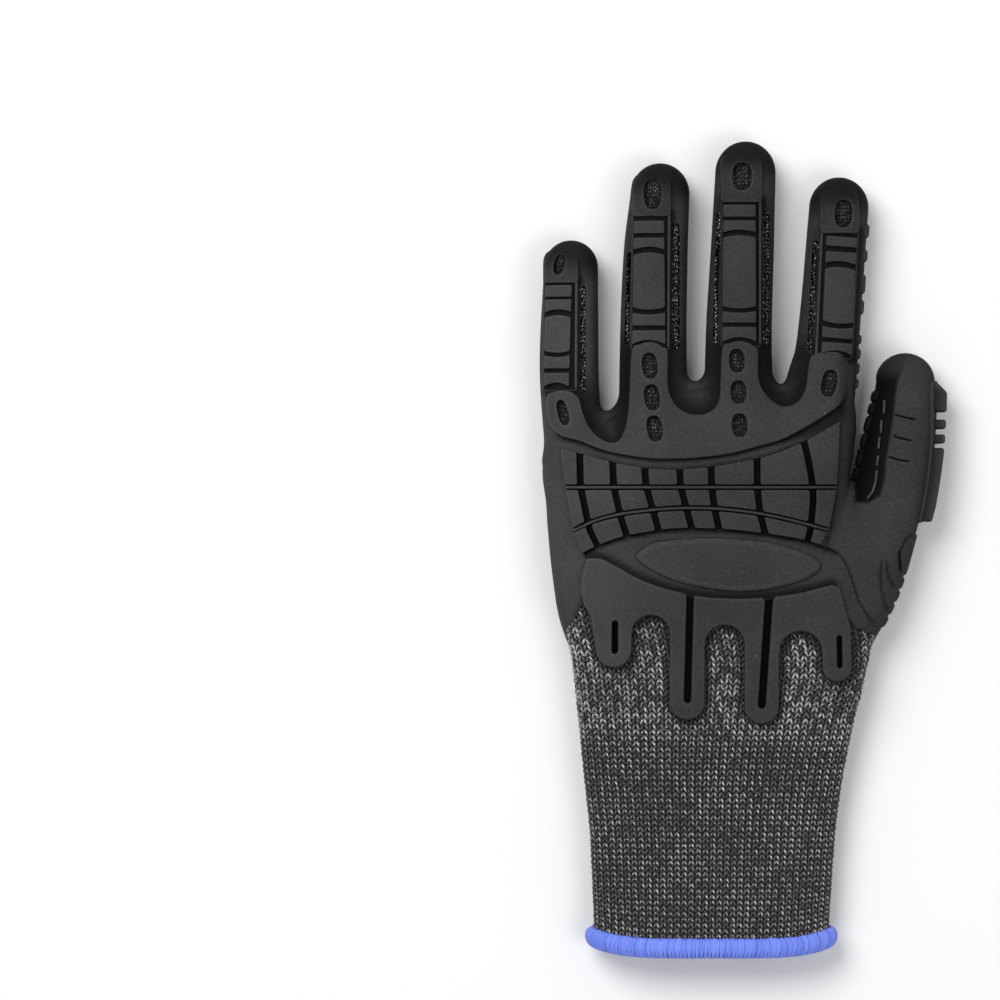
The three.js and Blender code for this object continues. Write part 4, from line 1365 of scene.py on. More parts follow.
def build_back_guard(material):
    row = curved(ROW_THREE_END, 4)

    def floor_top(points):
        x, y = points.T
        flank = smooth_step(x, 29.0, 35.0) * smooth_step(-y, 0.0, 8.0)
        level = between(TILE_FLOOR, GUARD_FLOOR, smooth_step(row_y(row, x) - y, 0.0, 2.0))
        return level - (level - COAT_FACE - 0.15) * flank

    # Painted shade on the floor: dark between the tiles and along the lens's lower edge, lighter past
    # the outer columns and round the boss.
    def floor_shade(points):
        x, y = points.T
        below = row_y(row, x) - y
        channel = edge_distance(points, [curved(LENS_LOW, 2)], closed=False)
        past = np.maximum(column_x(COLUMNS[0], y) - x, x - column_x(COLUMNS[8], y))
        margin = 0.85 * smooth_step(past, -0.9, -0.1)
        ring = 0.9 * smooth_step(below, 0.3, 2.0) * (0.2 + 0.8 * smooth_step(channel, 0.6, 3.4))
        return np.maximum(ring, margin * (below < 0))

    floor = [lens_floor_outline()]
    boss = thinned(curved(BOSS, 3, closed=True), 0.3)
    shells = [
        raised(floor, on_back, floor_top, FLOOR_EDGE, 1.4, light_and_dust=floor_shade),
        *tile_shells(),
        raised([boss], on_back, GUARD_TOP, BOSS_EDGE),
        *plate_shells(),
    ]
    add_guard("back_plate", shells, material, "back_guard")


# Thumb and index sides

INDEX_RIBS = (
    (105.6, 101.1), (97.2, 93.3), (89.1, 82.9), (80.9, 76.1), (69.6, 66.5), (65.1, 61.6),
    (60.4, 56.8), (55.4, 52.0),
)
INDEX_RIB_Z = (4.6, 14.6)
THUMB_RIBS = (
    (51.6, 47.9), (47.6, 43.7), (43.4, 38.1), (37.8, 33.0), (32.7, 27.0), (26.7, 22.2),
)
THUMB_RIB_Z = (4.0, 15.0)
THUMB_RIB_TOP = 1.9
INNER_SEAT = 0.5
THUMB_DASHES = (
    ((45.1, 47.9), (44.9, 44.2)),
    ((44.1, 41.5), (43.9, 37.9)),
    ((43.4, 36.0), (43.1, 32.8)),
    ((42.9, 30.1), (42.6, 27.3)),
    ((42.4, 25.2), (42.1, 22.2), (41.2, 19.0), (39.6, 16.6)),
)
# How much lighter the thumb's dashes are painted: a painted highlight.
DASH_HIGHLIGHT = 3.0

# The slab under the thumb's blocks, y and z, and the rounded edges of the thumb and the index finger.
THUMB_SLAB = (54.6, 8.4, 5.4, 17.4)
SLAB_EDGE_WIDE = (0.8, 0.6)
BLOCK_EDGE = (0.9, 0.8)
RIB_EDGE = (1.2, 0.8)
INNER_RIB_EDGE = (1.4, 0.8)

# Ribs down the base of the thumb, each from one y to another, and their z.
THUMB_BASE_RIBS = (
    (4.9, -8.6), (-9.4, -13.0), (-13.6, -17.2), (-17.8, -21.4), (-22.0, -25.4),
)
THUMB_BASE_RIB_Z = (5.0, 15.0)


def side_box(start, end, low, high, radius):
    return rounded([(start, low), (end, low), (end, high), (start, high)], radius)


def build_thumb_guard(material):
    tip = THUMB_BLOCKS[0][0]

    def top(points):
        fade = smooth_step(tip - points[:, 0], -0.5, 4.0)
        return COAT_FACE + 0.9 + (THUMB_BLOCK_TOP - COAT_FACE - 0.9) * fade

    slab = side_box(*THUMB_SLAB, 2.0)
    shells = [raised([slab], on_right, GUARD_FLOOR, SLAB_EDGE_WIDE)]
    for block in THUMB_BLOCKS:
        outline = side_box(*block, 1.4)
        shells.append(raised([outline], on_right, top, BLOCK_EDGE, 1.0))
    add_guard("thumb_blocks", shells, material, "thumb_guard")


def rib_row(ends, levels, lift, top, **settings):
    """A row of rounded ribs between two levels, each from one end to the other."""
    boxes = [side_box(start, end, *levels, 1.2) for start, end in ends]
    return [raised([box], lift, top, spacing=0.9, **settings) for box in boxes]


def build_side_ribs(material):
    # The ribs inside the thumb lie in painted shade, like the hollow.
    inner = {"rounding": INNER_RIB_EDGE, "light_and_dust": 0.12, "low": INNER_SEAT}
    top = COAT_FACE + 0.8
    shells = rib_row(INDEX_RIBS, INDEX_RIB_Z, on_index_side, top, rounding=RIB_EDGE)
    shells += rib_row(THUMB_RIBS, THUMB_RIB_Z, on_thumb_inside, THUMB_RIB_TOP, **inner)
    for line in THUMB_DASHES:
        shells.append(ridge(line, on_back, 0.7, COAT_FACE + 0.1, DASH_HIGHLIGHT, INNER_SEAT))
    # A pale lip below each of the first three grooves: a painted highlight.
    for line in BACK_GROOVES[:3]:
        lip = np.array(line) - (0, 0.75)
        shells.append(ridge(lip, on_back, 0.5, COAT_FACE + 0.12, 1.5))
    top = COAT_FACE + 0.7
    shells += rib_row(THUMB_BASE_RIBS, THUMB_BASE_RIB_Z, on_right, top, rounding=RIB_EDGE)
    add_piece("side_ribs", shells, 60, material)


# Palm pads, with the rounded edges of pads, of the strip and of the ladder's rungs

PALM_PAD_EDGE = (0.5, 0.45)
STRIP_EDGE = (0.4, 0.3)
LADDER_EDGE = (0.45, 0.4)


def build_palm_pads(material):
    strip = rounded(PALM_STRIP, 0.6, 3)

    # Painted shade on the panel beside the raised strip.
    def panel_shade(points):
        return 0.15 + 0.85 * smooth_step(edge_distance(points, [strip]), 0.4, 1.6)

    panel = [rounded(PALM_PANEL_OUTLINE, 1.0, 3)]
    shells = [raised(panel, on_palm, PALM_PANEL, PALM_PAD_EDGE, light_and_dust=panel_shade)]
    shells.append(raised([strip], on_palm, PALM_PAD + 0.1, STRIP_EDGE))
    slits = [band(curved(line, 3), width) for line, width in zip(SLITS, SLIT_WIDTHS)]
    for outline, holes in ((LEAF, slits[:1]), (PETAL, slits[1:])):
        pad = thinned(rounded(curved(outline, 2, closed=True), 0.5, 2), 0.3)
        shells.append(raised([pad, *holes], on_palm, PALM_PAD, PALM_PAD_EDGE, 1.6))
    for cell in LATTICE:
        shells.append(raised([rounded(cell, 0.9)], on_palm, PALM_PAD - 0.1, PALM_PAD_EDGE))
    for ladder in LADDERS:
        outline = ladder_outline(*ladder)
        shells.append(raised([outline], on_palm, PALM_PAD - 0.1, LADDER_EDGE))
    for line in PALM_CREASES:
        shells.append(ridge(line, on_palm, 1.2, COAT_FACE + 0.45))
    add_piece("palm_pads", shells, GUARD_ANGLE, material)


# Knit

WALES = 74
COURSE = 1.84
CUFF_START = -127.6
CUFF_COURSES = 63

# One leg of a stitch: its shares of the course, then width, thickness, rise and painted light along
# it, a painted highlight in its middle and painted shade at its ends.
LEG_STEPS = np.array([0.0, 0.34, 0.67, 1.0])
LEG_WIDE = np.array([0.24, 0.44, 0.46, 0.28])
LEG_TALL = np.array([0.20, 0.40, 0.42, 0.26])
LEG_RISE = np.array([0.0, 0.32, 0.38, 0.04])
LEG_LIGHT = np.array([0.02, 0.3, 1.0, 0.08])
# Painted light round a leg: a highlight on its outer side, painted shade on the rest.
ROUND_LIGHT = np.array([0.22, 1.0, 0.12, 0.0, 0.0])
LEG_SPREAD = (0.05, 0.40)
LEG_LENGTH = 1.22

# Towards the tongues the knit is paler and less crisp: from where to where, and how pale it gets.
# Stitches beyond the last value are the openings', which have no pale ground.
ARCHES = (-68, -48)
ARCH_GROUND = 0.46
OPENINGS_START = 20

# How far wales wander from course to course, and how far legs stray sideways and up.
WALE_WANDER = 0.02
LEG_STRAY = (0.025, 0.05)

# The share of dull legs and how bright they are, the left leg's brightness, lowered as painted shade,
# and the darkest of the rest.
DULL_SHARE = 0.14
DULL_LIGHT = 0.3
LEFT_LIGHT = 0.5
LEAST_LIGHT = 0.45

# Soft clouds in the knit: their middle tone and depth, then each wave's step by wale, step by course
# and start.
CLOUD_MIDDLE = 0.87
CLOUD_DEPTH = 0.1
CLOUD_WAVES = ((0.47, 0.21, 0.0), (0.23, -0.37, 1.0))

# The z between the stitches of the palm side and of the back, and the lowest that a stitch may lie.
SIDE_LEVEL = 9.5
STITCH_FLOOR = 0.55

# Stitches in the openings: the spacing of wales and courses, the scale of a leg, and the height, the
# brightness and the painted shade at the rim in vents and in narrow and wide slots. The brightness is
# painted light and shade as well: dim in the vents, bright in the narrow slots. Then the height, the
# foot and the rounded edge of the pads behind them.
OPENING_WALE = 1.45
OPENING_COURSE = 1.2
OPENING_SCALE = 0.62
VENT_STITCHES = {"height": 0.3, "light": 0.4, "shaded": 0.9}
NARROW_SLOT = 1.8
NARROW_STITCHES = {"height": 0.65, "light": 1.3, "shaded": 0.0}
WIDE_STITCHES = {"height": 0.65, "light": 0.64, "shaded": 0.0}
LINING_TOP = 0.45
LINING_LOW = -0.6
LINING_EDGE = (0.5, 0.3)

# The mouth of the cuff curls towards the fingers at its two sides.
MOUTH_MIDDLE = -10.5
MOUTH_HALF = 38.5
MOUTH_CURL = 3.4
MOUTH_FLARE = 1.1


def curled(points):
    across = (points[..., 0] - MOUTH_MIDDLE) / MOUTH_HALF
    side = np.clip(np.abs(across), 0, 1.06) ** 5
    out = points.copy()
    out[..., 1] += MOUTH_CURL * side * smooth_step(-points[..., 1], 104, 129)
    out[..., 0] += MOUTH_FLARE * np.sign(across) * side * smooth_step(-points[..., 1], 124, 129)
    return out


def knit_outside(x, y, z):
    return smooth_max(wall_distance(KNIT_FACE, x, y, z), KNIT_END - y, 0.6)


def knit_inside(x, y, z):
    return smooth_max(wall_distance(KNIT_INSIDE, x, y, z), KNIT_HOLLOW_END - y, 1.0)


def build_knit_lining(material, voxel):
    high = (64, 132, 29)
    lining = level_form("knit_lining", knit_outside, (-66, -134, 0), high, voxel)
    cut(lining, level_form("hollow", knit_inside, (-66, -140, 0), high, voxel * 1.1))
    points = curled(mesh_points(lining)) * MM
    lining.data.vertices.foreach_set("co", points.ravel())
    lining.data.update()
    shade(lining, 40)
    dress(lining, material, ["knit_liner", "knit_cuff"])


def cuff_ring(y, height):
    """Points around the cuff at one y, at a height above the knit, evenly spaced by length."""
    rows = np.array(HAND)
    at = max(y, rows[0, 0])
    left, right, top, bottom = (smooth_curve(rows[:, 0], rows[:, i], at) for i in range(1, 5))
    turn = np.linspace(0, 2 * math.pi, 480, endpoint=False)
    cos, sin = np.cos(turn), np.sin(turn)
    across = np.sign(cos) * np.abs(cos) ** (2 / POWER_ACROSS)
    upward = np.sign(sin) * np.abs(sin) ** np.where(sin > 0, 2 / POWER_ABOVE, 2 / POWER_BELOW)
    x = (left + right) / 2 + ((right - left) / 2 + height) * across
    z = (top + bottom) / 2 + ((top - bottom) / 2 + height) * upward
    z = smooth_max(z, lowest(y, height), 0.6)
    ring = np.column_stack([x, np.full(len(x), y), z])
    closed = np.vstack([ring, ring[:1]])
    steps = np.linalg.norm(np.diff(closed, axis=0), axis=1)
    length = np.concatenate([[0], np.cumsum(steps)])
    return closed, length / length[-1]


def around(shares, y, height):
    """Places at those shares of the way round the cuff, at a height above the knit."""
    closed, length = cuff_ring(y, height)
    shares = np.mod(shares, 1.0)
    return np.column_stack([np.interp(shares, length, closed[:, i]) for i in range(3)])


def leg_path(sign):
    """Each step of a leg as shares of a course and of a wale from the stitch's middle."""
    low, high = LEG_SPREAD
    return [((step - 0.5) * LEG_LENGTH, sign * (low + high * step)) for step in LEG_STEPS]


def cuff_legs(rng):
    """The two slanting legs of every stitch of the cuff, as flat lines and a tone for each."""
    lines, tones = [], []
    wale = np.arange(WALES)
    wander = np.cumsum(rng.normal(0, WALE_WANDER, (CUFF_COURSES, WALES)), axis=0)
    for _ in range(3):
        wander = (np.roll(wander, 1, axis=1) + wander + np.roll(wander, -1, axis=1)) / 3
    for course in range(CUFF_COURSES):
        middle_y = CUFF_START + course * COURSE
        spread, rise = (rng.normal(0, stray, (2, WALES)) for stray in LEG_STRAY)
        tone = rng.random((2, WALES))
        arch = smooth_step(middle_y, *ARCHES)
        dull = rng.random((2, WALES)) < DULL_SHARE + 0.16 * arch
        cloud = np.full(WALES, CLOUD_MIDDLE)
        for by_wale, by_course, start in CLOUD_WAVES:
            cloud += CLOUD_DEPTH * np.sin(by_wale * wale + by_course * course + start)
        cloud *= 1 - 0.55 * arch
        for side, sign, bright in ((0, -1, LEFT_LIGHT + 0.4 * arch), (1, 1, 1.0)):
            leg = []
            for along, aside in leg_path(sign):
                shares = (wale + aside + spread[side] + wander[course]) / WALES
                leg.append(around(shares, middle_y + along * COURSE, 0.0))
            line = np.stack(leg, axis=1)
            line[:, :, 1] += rise[side][:, None]
            lines.append(line)
            shown = cloud * (LEAST_LIGHT + 0.55 * tone[side]) * np.where(dull[side], DULL_LIGHT, 1.0)
            tones.append(bright * shown)
    return np.vstack(lines), np.concatenate(tones)


def add_stitches(name, lines, normals, tones, material, scale=1.0):
    """Stitch legs as tapered tubes, with a painted highlight where they stand highest, and paler towards
    the hand.
    """
    count = len(lines)
    wide = np.tile(LEG_WIDE * scale, (count, 1))
    tall = np.tile(LEG_TALL * scale, (count, 1))
    points, faces = tubes(lines, normals, wide, tall, len(ROUND_LIGHT))
    y = lines[:, :, 1]
    ground = ARCH_GROUND * smooth_step(y, *ARCHES) * np.minimum(2 * tones, 1)[:, None]
    ground *= y < OPENINGS_START
    tone = (ground[:, :, None] + (tones[:, None] * LEG_LIGHT)[:, :, None] * ROUND_LIGHT).ravel()
    piece = mesh_object(name, points, faces, tone, "tone")
    shade(piece, 180)
    dress(piece, material)


def lifted(flat, heights):
    """Lines on the knit's outer face raised by their own heights, and the way they were raised."""
    spots = settled(flat.reshape(-1, 3))
    out = outward(spots)
    spots += out * heights.reshape(-1)[:, None]
    spots[:, 2] = np.maximum(spots[:, 2], STITCH_FLOOR)
    return spots.reshape(flat.shape), out.reshape(flat.shape)


def build_cuff_stitches(material):
    rng = np.random.default_rng(SEED)
    flat, tones = cuff_legs(rng)
    heights = LEG_RISE - 0.25 + rng.normal(0, 0.06, (len(flat), 1))
    x, y, z = flat.mean(1).T
    middle = np.column_stack([x, y])
    plate = [plate_outline(False)]
    rim = edge_distance(middle, plate)
    above = z > SIDE_LEVEL
    hidden = inside(middle, plate) & above & (rim > 1.6)
    bare = (y < wrist_edge(x, z) + 2.0) & ~hidden
    # Stitches on the back beside the plate are darkened: a painted shadow of the plate.
    tones = tones * np.where(above, 0.1 + 0.9 * smooth_step(rim, 0.5, 2.4), 1.0)
    lines, normals = lifted(flat[bare], heights[bare])
    tones = tones[bare]
    upper = lines.mean(1)[:, 2] > SIDE_LEVEL
    for name, chosen in (("cuff_stitches_back", upper), ("cuff_stitches_palm", ~upper)):
        add_stitches(name, curled(lines[chosen]), normals[chosen], tones[chosen], material)


def opening_stitches(rng):
    """Stitches that show in the vents and side openings: places, heights and tones."""
    shapes = [(vent_outline(vent, 1.0), VENT_STITCHES) for vent in VENTS]
    for slot in SIDE_SLOTS:
        looks = NARROW_STITCHES if slot[4] < NARROW_SLOT else WIDE_STITCHES
        shapes.append((slot_outline(slot, 0.8, 5), looks))
    spacing = np.array([OPENING_WALE, OPENING_COURSE])
    lines, heights, tones = [], [], []
    for shape, looks in shapes:
        start = shape.min(0) + 0.3 * spacing
        xs, ys = (np.arange(*bounds) for bounds in zip(start, shape.max(0), spacing))
        seats = np.array([(x, y) for x in xs for y in ys])
        seats = seats[inside(seats, [shape])] + rng.normal(0, 0.1, (1, 2))
        rim = edge_distance(seats, [shape])
        lit = looks["light"] * (1 - looks["shaded"] * fade_out(rim, 0.9, 2.3))
        for sign in (-1, 1):
            sway = rng.normal(0, 0.12, (len(seats), 2))
            leg = [seats + sway + spacing * (aside, along) for along, aside in leg_path(sign)]
            lines.append(np.stack(leg, axis=1))
            heights.append(np.full(len(seats), looks["height"]))
            tones.append(lit * (0.35 + 0.65 * rng.random(len(seats)) ** 1.6))
    return np.vstack(lines), np.concatenate(heights), np.concatenate(tones)


def build_opening_knit(material):
    rng = np.random.default_rng(SEED + 1)
    flat, heights, tones = opening_stitches(rng)
    count = len(flat)
    heights = heights[:, None] + LEG_RISE + rng.normal(0, 0.08, (count, 1))
    seats = on_back(flat.reshape(-1, 2), 0.0).reshape(count, -1, 3)
    lines, normals = lifted(seats, heights)
    add_stitches("opening_stitches", lines, normals, tones, material, OPENING_SCALE)
    # Pads of knit behind the vents, in the yarn's painted shade.
    outlines = [vent_outline(vent, 2.0) for vent in VENTS]
    shells = [raised([loop], on_back, LINING_TOP, LINING_EDGE, 1.3, low=LINING_LOW) for loop in outlines]
    add_piece("opening_lining", shells, 60, material)


# Hem

HEM_BUNDLES = 134
HEM_THREADS = 4
THREAD_RADIUS = 0.31
THREAD_SIDES = 6
CORE_STEPS = 260
CORE_FLOOR = 0.15
MOUTH_HEART = (MOUTH_MIDDLE, -129.3, 9.8)


def hem_threads(rng):
    """Thread wraps over the hem, in bundles, each as a line with normals."""
    path = curved(HEM_PATH, 2)
    bundle = np.repeat(np.arange(HEM_BUNDLES), HEM_THREADS)
    thread = np.tile(np.arange(HEM_THREADS), HEM_BUNDLES)
    lines = np.zeros((len(bundle), len(path), 3))
    spread = (thread - 1.5) * 0.235 + rng.normal(0, 0.02, len(bundle))
    start = rng.normal(0, 0.2, len(bundle))
    puff = rng.normal(0, 0.035, len(bundle))
    for i, (y, height) in enumerate(path):
        slant = 0.5 * (i / len(path) - 0.5)
        gather = 1 - 0.38 * smooth_step(i / len(path), 0.2, 0.42)
        shares = (bundle + spread * gather + slant) / HEM_BUNDLES
        spot = around(shares, y, height)
        spot += (around(shares, y, height + 1.0) - spot) * puff[:, None]
        spot[:, 1] += start * max(0, 3 - i) / 3
        lines[:, i] = spot
    lines[:, :, 2] = np.maximum(lines[:, :, 2], THREAD_RADIUS + 0.02)
    run = np.gradient(lines, axis=1)
    normals = np.cross(run, np.cross((0.0, 1.0, 0.0), lines - MOUTH_HEART))
    normals /= np.maximum(np.linalg.norm(normals, axis=2)[:, :, None], 1e-6)
    return curled(lines), normals


def build_hem_threads(material):
    rng = np.random.default_rng(SEED + 2)
    lines, normals = hem_threads(rng)
    radius = np.full(lines.shape[:2], THREAD_RADIUS)
    radius[:, 0] *= 0.6
    points, faces = tubes(lines, normals, radius, radius, THREAD_SIDES)
    tone = np.repeat(0.55 + 0.45 * rng.random(len(lines)), lines.shape[1] * THREAD_SIDES)
    piece = mesh_object("hem_threads", points, faces, tone, "tone")
    shade(piece, 180)
    dress(piece, material, ["cuff_hem"])


def build_hem_core(material):
    """The rolled end of the knit under the threads, as a ring."""
    shares = np.arange(CORE_STEPS) / CORE_STEPS
    core = curved(HEM_CORE, 2, closed=True)
    rings = np.stack([around(shares, y, height) for y, height in core], axis=1)
    rings[:, :, 2] = np.maximum(rings[:, :, 2], CORE_FLOOR)
    here = np.arange(CORE_STEPS * len(core)).reshape(CORE_STEPS, -1)
    there = np.roll(here, -1, axis=0)
    corners = (here, there, np.roll(there, -1, axis=1), np.roll(here, -1, axis=1))
    faces = np.stack(corners, axis=-1).reshape(-1, 4)
    body = mesh_object("hem_core", curled(rings.reshape(-1, 3)), faces)
    shade(body, 180)
    dress(body, material)


# Shader groups and materials


def new_group(name, inputs, outputs):
    """A shader node group with inputs and their defaults, outputs, and its two end nodes."""
    tree = bpy.data.node_groups.new(name, "ShaderNodeTree")
    for label, value in inputs.items():
        kind = "NodeSocketFloat" if isinstance(value, float) else "NodeSocketColor"
        made = tree.interface.new_socket(name=label, in_out="INPUT", socket_type=kind)
        made.default_value = value
    for label in outputs:
        kind = "NodeSocketColor" if label == "Color" else "NodeSocketFloat"
        tree.interface.new_socket(name=label, in_out="OUTPUT", socket_type=kind)
    return tree, tree.nodes.new("NodeGroupInput"), tree.nodes.new("NodeGroupOutput")


def feed(tree, source, entry):
    """Links a socket to an input, or gives the input a plain value."""
    if isinstance(source, bpy.types.NodeSocket):
        tree.links.new(source, entry)
    else:
        entry.default_value = source


def node(tree, kind, links=None, **settings):
    """A node with its settings and what feeds its inputs: a socket or a plain value."""
    made = tree.nodes.new(kind)
    for key, value in settings.items():
        setattr(made, key, value)
    for key, source in (links or {}).items():
        feed(tree, source, made.inputs[key])
    return made


def ramp(tree, source, low, high):
    """A soft step from 0 to 1 between two values."""
    links = {"Value": source, "From Min": low, "From Max": high}
    made = node(tree, "ShaderNodeMapRange", links, interpolation_type="SMOOTHSTEP")
    return made.outputs["Result"]


def mixed(tree, share, first, second):
    """One colour turning into another."""
    made = node(tree, "ShaderNodeMix", data_type="RGBA")
    for key, source in {"Factor": share, "A": first, "B": second}.items():
        feed(tree, source, next(s for s in made.inputs if s.name == key and s.enabled))
    return next(s for s in made.outputs if s.enabled)


def combined(tree, operation, first, second):
    return node(tree, "ShaderNodeMath", {0: first, 1: second}, operation=operation).outputs[0]


def times(tree, first, second):
    return combined(tree, "MULTIPLY", first, second)


def plus(tree, first, second):
    return combined(tree, "ADD", first, second)


def place_on_piece(tree):
    return node(tree, "ShaderNodeTexCoord").outputs["Object"]


def point_value(tree, name):
    """A value that the meshes keep for each point."""
    return node(tree, "ShaderNodeAttribute", attribute_name=name).outputs["Fac"]


def noise(tree, place, scale, detail=2.0, roughness=0.5):
    links = {"Vector": place, "Scale": scale, "Detail": detail, "Roughness": roughness}
    return node(tree, "ShaderNodeTexNoise", links).outputs["Fac"]


def moulded_grain_group():
    """Fine moulded grain of rubber, as a height."""
    inputs = {"Grain Scale": 1500.0, "Swell": 0.3}
    tree, start, end = new_group("Moulded grain", inputs, ["Height"])
    place = place_on_piece(tree)
    fine = noise(tree, place, start.outputs["Grain Scale"], 3.0, 0.6)
    broad = noise(tree, place, 90.0)
    height = plus(tree, fine, times(tree, broad, start.outputs["Swell"]))
    tree.links.new(height, end.inputs["Height"])
    return tree


def rubber_colour_and_light_group():
    """Colour and roughness of moulded rubber: painted shade in grooves and on right flanks, painted
    light on left flanks, dusty on top.
    """
    inputs = {
        "Rubber": (0.03, 0.03, 0.03, 1),
        "Shaded Rubber": (0.008, 0.008, 0.008, 1),
        "Dust": (0.2, 0.2, 0.2, 1),
        "Dust Amount": 0.1,
        "Speck Amount": 0.6,
        "Roughness": 0.6,
    }
    tree, start, end = new_group("Rubber colour and light", inputs, ["Color", "Roughness"])
    given = start.outputs
    coordinates = node(tree, "ShaderNodeTexCoord").outputs
    place = coordinates["Object"]

    # How light the face is painted, which also sets its dust: painted light and shade from its turn to
    # the light and from the value its mesh keeps, and broad clouds.
    normal = node(tree, "ShaderNodeSeparateXYZ", {0: coordinates["Normal"]}).outputs
    level = node(tree, "ShaderNodeMath", {0: normal["Z"]}, operation="ABSOLUTE").outputs[0]
    facing = combined(tree, "MAXIMUM", level, times(tree, normal["X"], -0.85))
    flat = plus(tree, times(tree, ramp(tree, facing, 0.15, 0.85), 0.42), 0.58)
    cloud = ramp(tree, noise(tree, place, 38.0, 3.0), 0.3, 0.75)
    lit_and_dusty = times(tree, flat, point_value(tree, "light_and_dust"))
    lit_and_dusty = times(tree, lit_and_dusty, plus(tree, times(tree, cloud, 0.25), 0.75))
    base = mixed(tree, lit_and_dusty, given["Shaded Rubber"], given["Rubber"])

    # A film of dust, with more of it towards the little finger as painted light from that side.
    fine = ramp(tree, noise(tree, place, 1500.0), 0.3, 0.8)
    across = node(tree, "ShaderNodeSeparateXYZ", {0: place}).outputs["X"]
    leftward_light = ramp(tree, times(tree, across, -1.0), 0.015, 0.06)
    dust = times(tree, plus(tree, fine, times(tree, leftward_light, 0.8)), given["Dust Amount"])
    coated = mixed(tree, times(tree, lit_and_dusty, dust), base, given["Dust"])

    # Rare round specks.
    links = {"Vector": place, "Scale": 420.0, "Randomness": 1.0}
    cells = node(tree, "ShaderNodeTexVoronoi", links).outputs
    dots = times(tree, plus(tree, times(tree, cells["Distance"], -16.0), 1.6), lit_and_dusty)
    rare = ramp(tree, noise(tree, place, 150.0, 1.0), 0.64, 0.68)
    specks = times(tree, times(tree, ramp(tree, dots, 0.0, 0.6), rare), given["Speck Amount"])
    tree.links.new(mixed(tree, specks, coated, given["Dust"]), end.inputs["Color"])
    uneven = plus(tree, times(tree, cloud, 0.08), given["Roughness"])
    tree.links.new(uneven, end.inputs["Roughness"])
    return tree


def yarn_tone_group():
    """Colour of yarn or thread: each stitch has its own tone, with painted light and shade on the knit's
    stitches, broken up by fibres.
    """
    inputs = {
        "Dark": (0.02, 0.02, 0.022, 1),
        "Light": (0.5, 0.48, 0.44, 1),
        "Fibre Scale": 2200.0,
        "Fibre Contrast": 1.0,
    }
    tree, start, end = new_group("Yarn tone", inputs, ["Color", "Height"])
    given = start.outputs
    fibre = noise(tree, place_on_piece(tree), given["Fibre Scale"])
    strand = times(tree, plus(tree, fibre, -0.5), given["Fibre Contrast"])
    level = plus(tree, point_value(tree, "tone"), strand)
    color = mixed(tree, ramp(tree, level, 0.05, 1.0), given["Dark"], given["Light"])
    tree.links.new(color, end.inputs["Color"])
    tree.links.new(fibre, end.inputs["Height"])
    return tree


def group_node(tree, make, name, values):
    """Places a shader group in a material, building it the first time."""
    group = bpy.data.node_groups.get(name) or make()
    return node(tree, "ShaderNodeGroup", values, node_tree=group).outputs


def bump(tree, height, strength, distance):
    links = {"Height": height, "Strength": strength, "Distance": distance}
    return node(tree, "ShaderNodeBump", links).outputs["Normal"]


def material_of(name, fill, **looks):
    """The material of that name, made the first time that it is asked for."""
    ready = bpy.data.materials.get(name)
    if ready:
        return ready
    material = bpy.data.materials.new(name)
    material.use_nodes = True
    tree = material.node_tree
    for label, source in fill(tree, **looks).items():
        feed(tree, source, tree.nodes["Principled BSDF"].inputs[label])
    return material


def rubber(tree, color, depth, roughness):
    settings = bpy.context.scene.glove_rubber
    colour_and_light = group_node(tree, rubber_colour_and_light_group, "Rubber colour and light", {
        "Rubber": (*color, 1),
        "Shaded Rubber": (*settings.deep_color, 1),
        "Dust": (*settings.dust_color, 1),
        "Dust Amount": settings.dust,
        "Roughness": roughness,
    })
    values = {"Grain Scale": 1.0 / settings.grain}
    grain = group_node(tree, moulded_grain_group, "Moulded grain", values)
    return {
        "Base Color": colour_and_light["Color"],
        "Roughness": colour_and_light["Roughness"],
        "Normal": bump(tree, grain["Height"], 0.6, depth),
        "Specular IOR Level": 0.03,
    }


def coat_material():
    color = bpy.context.scene.glove_rubber.coat_color
    return material_of("Coat rubber", rubber, color=color, depth=0.00008, roughness=0.6)


def guard_material():
    color = bpy.context.scene.glove_rubber.guard_color
    return material_of("Guard rubber", rubber, color=color, depth=0.00009, roughness=0.56)


def yarn(tree, dark, light, contrast, fibre, depth, roughness, gloss=0.25):
    tone = group_node(tree, yarn_tone_group, "Yarn tone", {
        "Dark": (*dark, 1),
        "Light": (*light, 1),
        "Fibre Scale": fibre,
        "Fibre Contrast": contrast,
    })
    return {
        "Base Color": tone["Color"],
        "Normal": bump(tree, tone["Height"], 0.7, depth),
        "Roughness": roughness,
        "Specular IOR Level": gloss,
    }


def toned(color, by):
    return tuple(c * by for c in color)


def stitch_material(name="Melange yarn", shade_of=1.0, gloss=0.25):
    knit = bpy.context.scene.glove_knit
    return material_of(
        name, yarn, dark=toned(knit.dark_color, shade_of), light=knit.light_color,
        contrast=knit.contrast, fibre=1900.0, depth=0.0002, roughness=0.85, gloss=gloss,
    )


def opening_material():
    return stitch_material("Shaded yarn", 0.42, 0.03)


# A darker copy of the yarn for the lining, which shows in the gaps between the stitches: painted shade.
def lining_material():
    dark = bpy.context.scene.glove_knit.dark_color
    return material_of(
        "Knit lining", yarn, dark=toned(dark, 0.5), light=toned(dark, 1.4),
        contrast=1.2, fibre=1600.0, depth=0.0004, roughness=0.9,
    )


def thread_material():
    hem = bpy.context.scene.glove_hem
    return material_of(
        "Hem thread", yarn, dark=hem.deep_color, light=hem.thread_color,
        contrast=0.5, fibre=2600.0, depth=0.00012, roughness=0.5,
    )


# The core shows in the gaps between the threads, in a darker copy of the thread's deep colour: painted
# shade.
def hem_core_material():
    deep = bpy.context.scene.glove_hem.deep_color
    return material_of(
        "Hem core", yarn, dark=toned(deep, 0.35), light=deep,
        contrast=0.8, fibre=1500.0, depth=0.0003, roughness=0.8,
    )


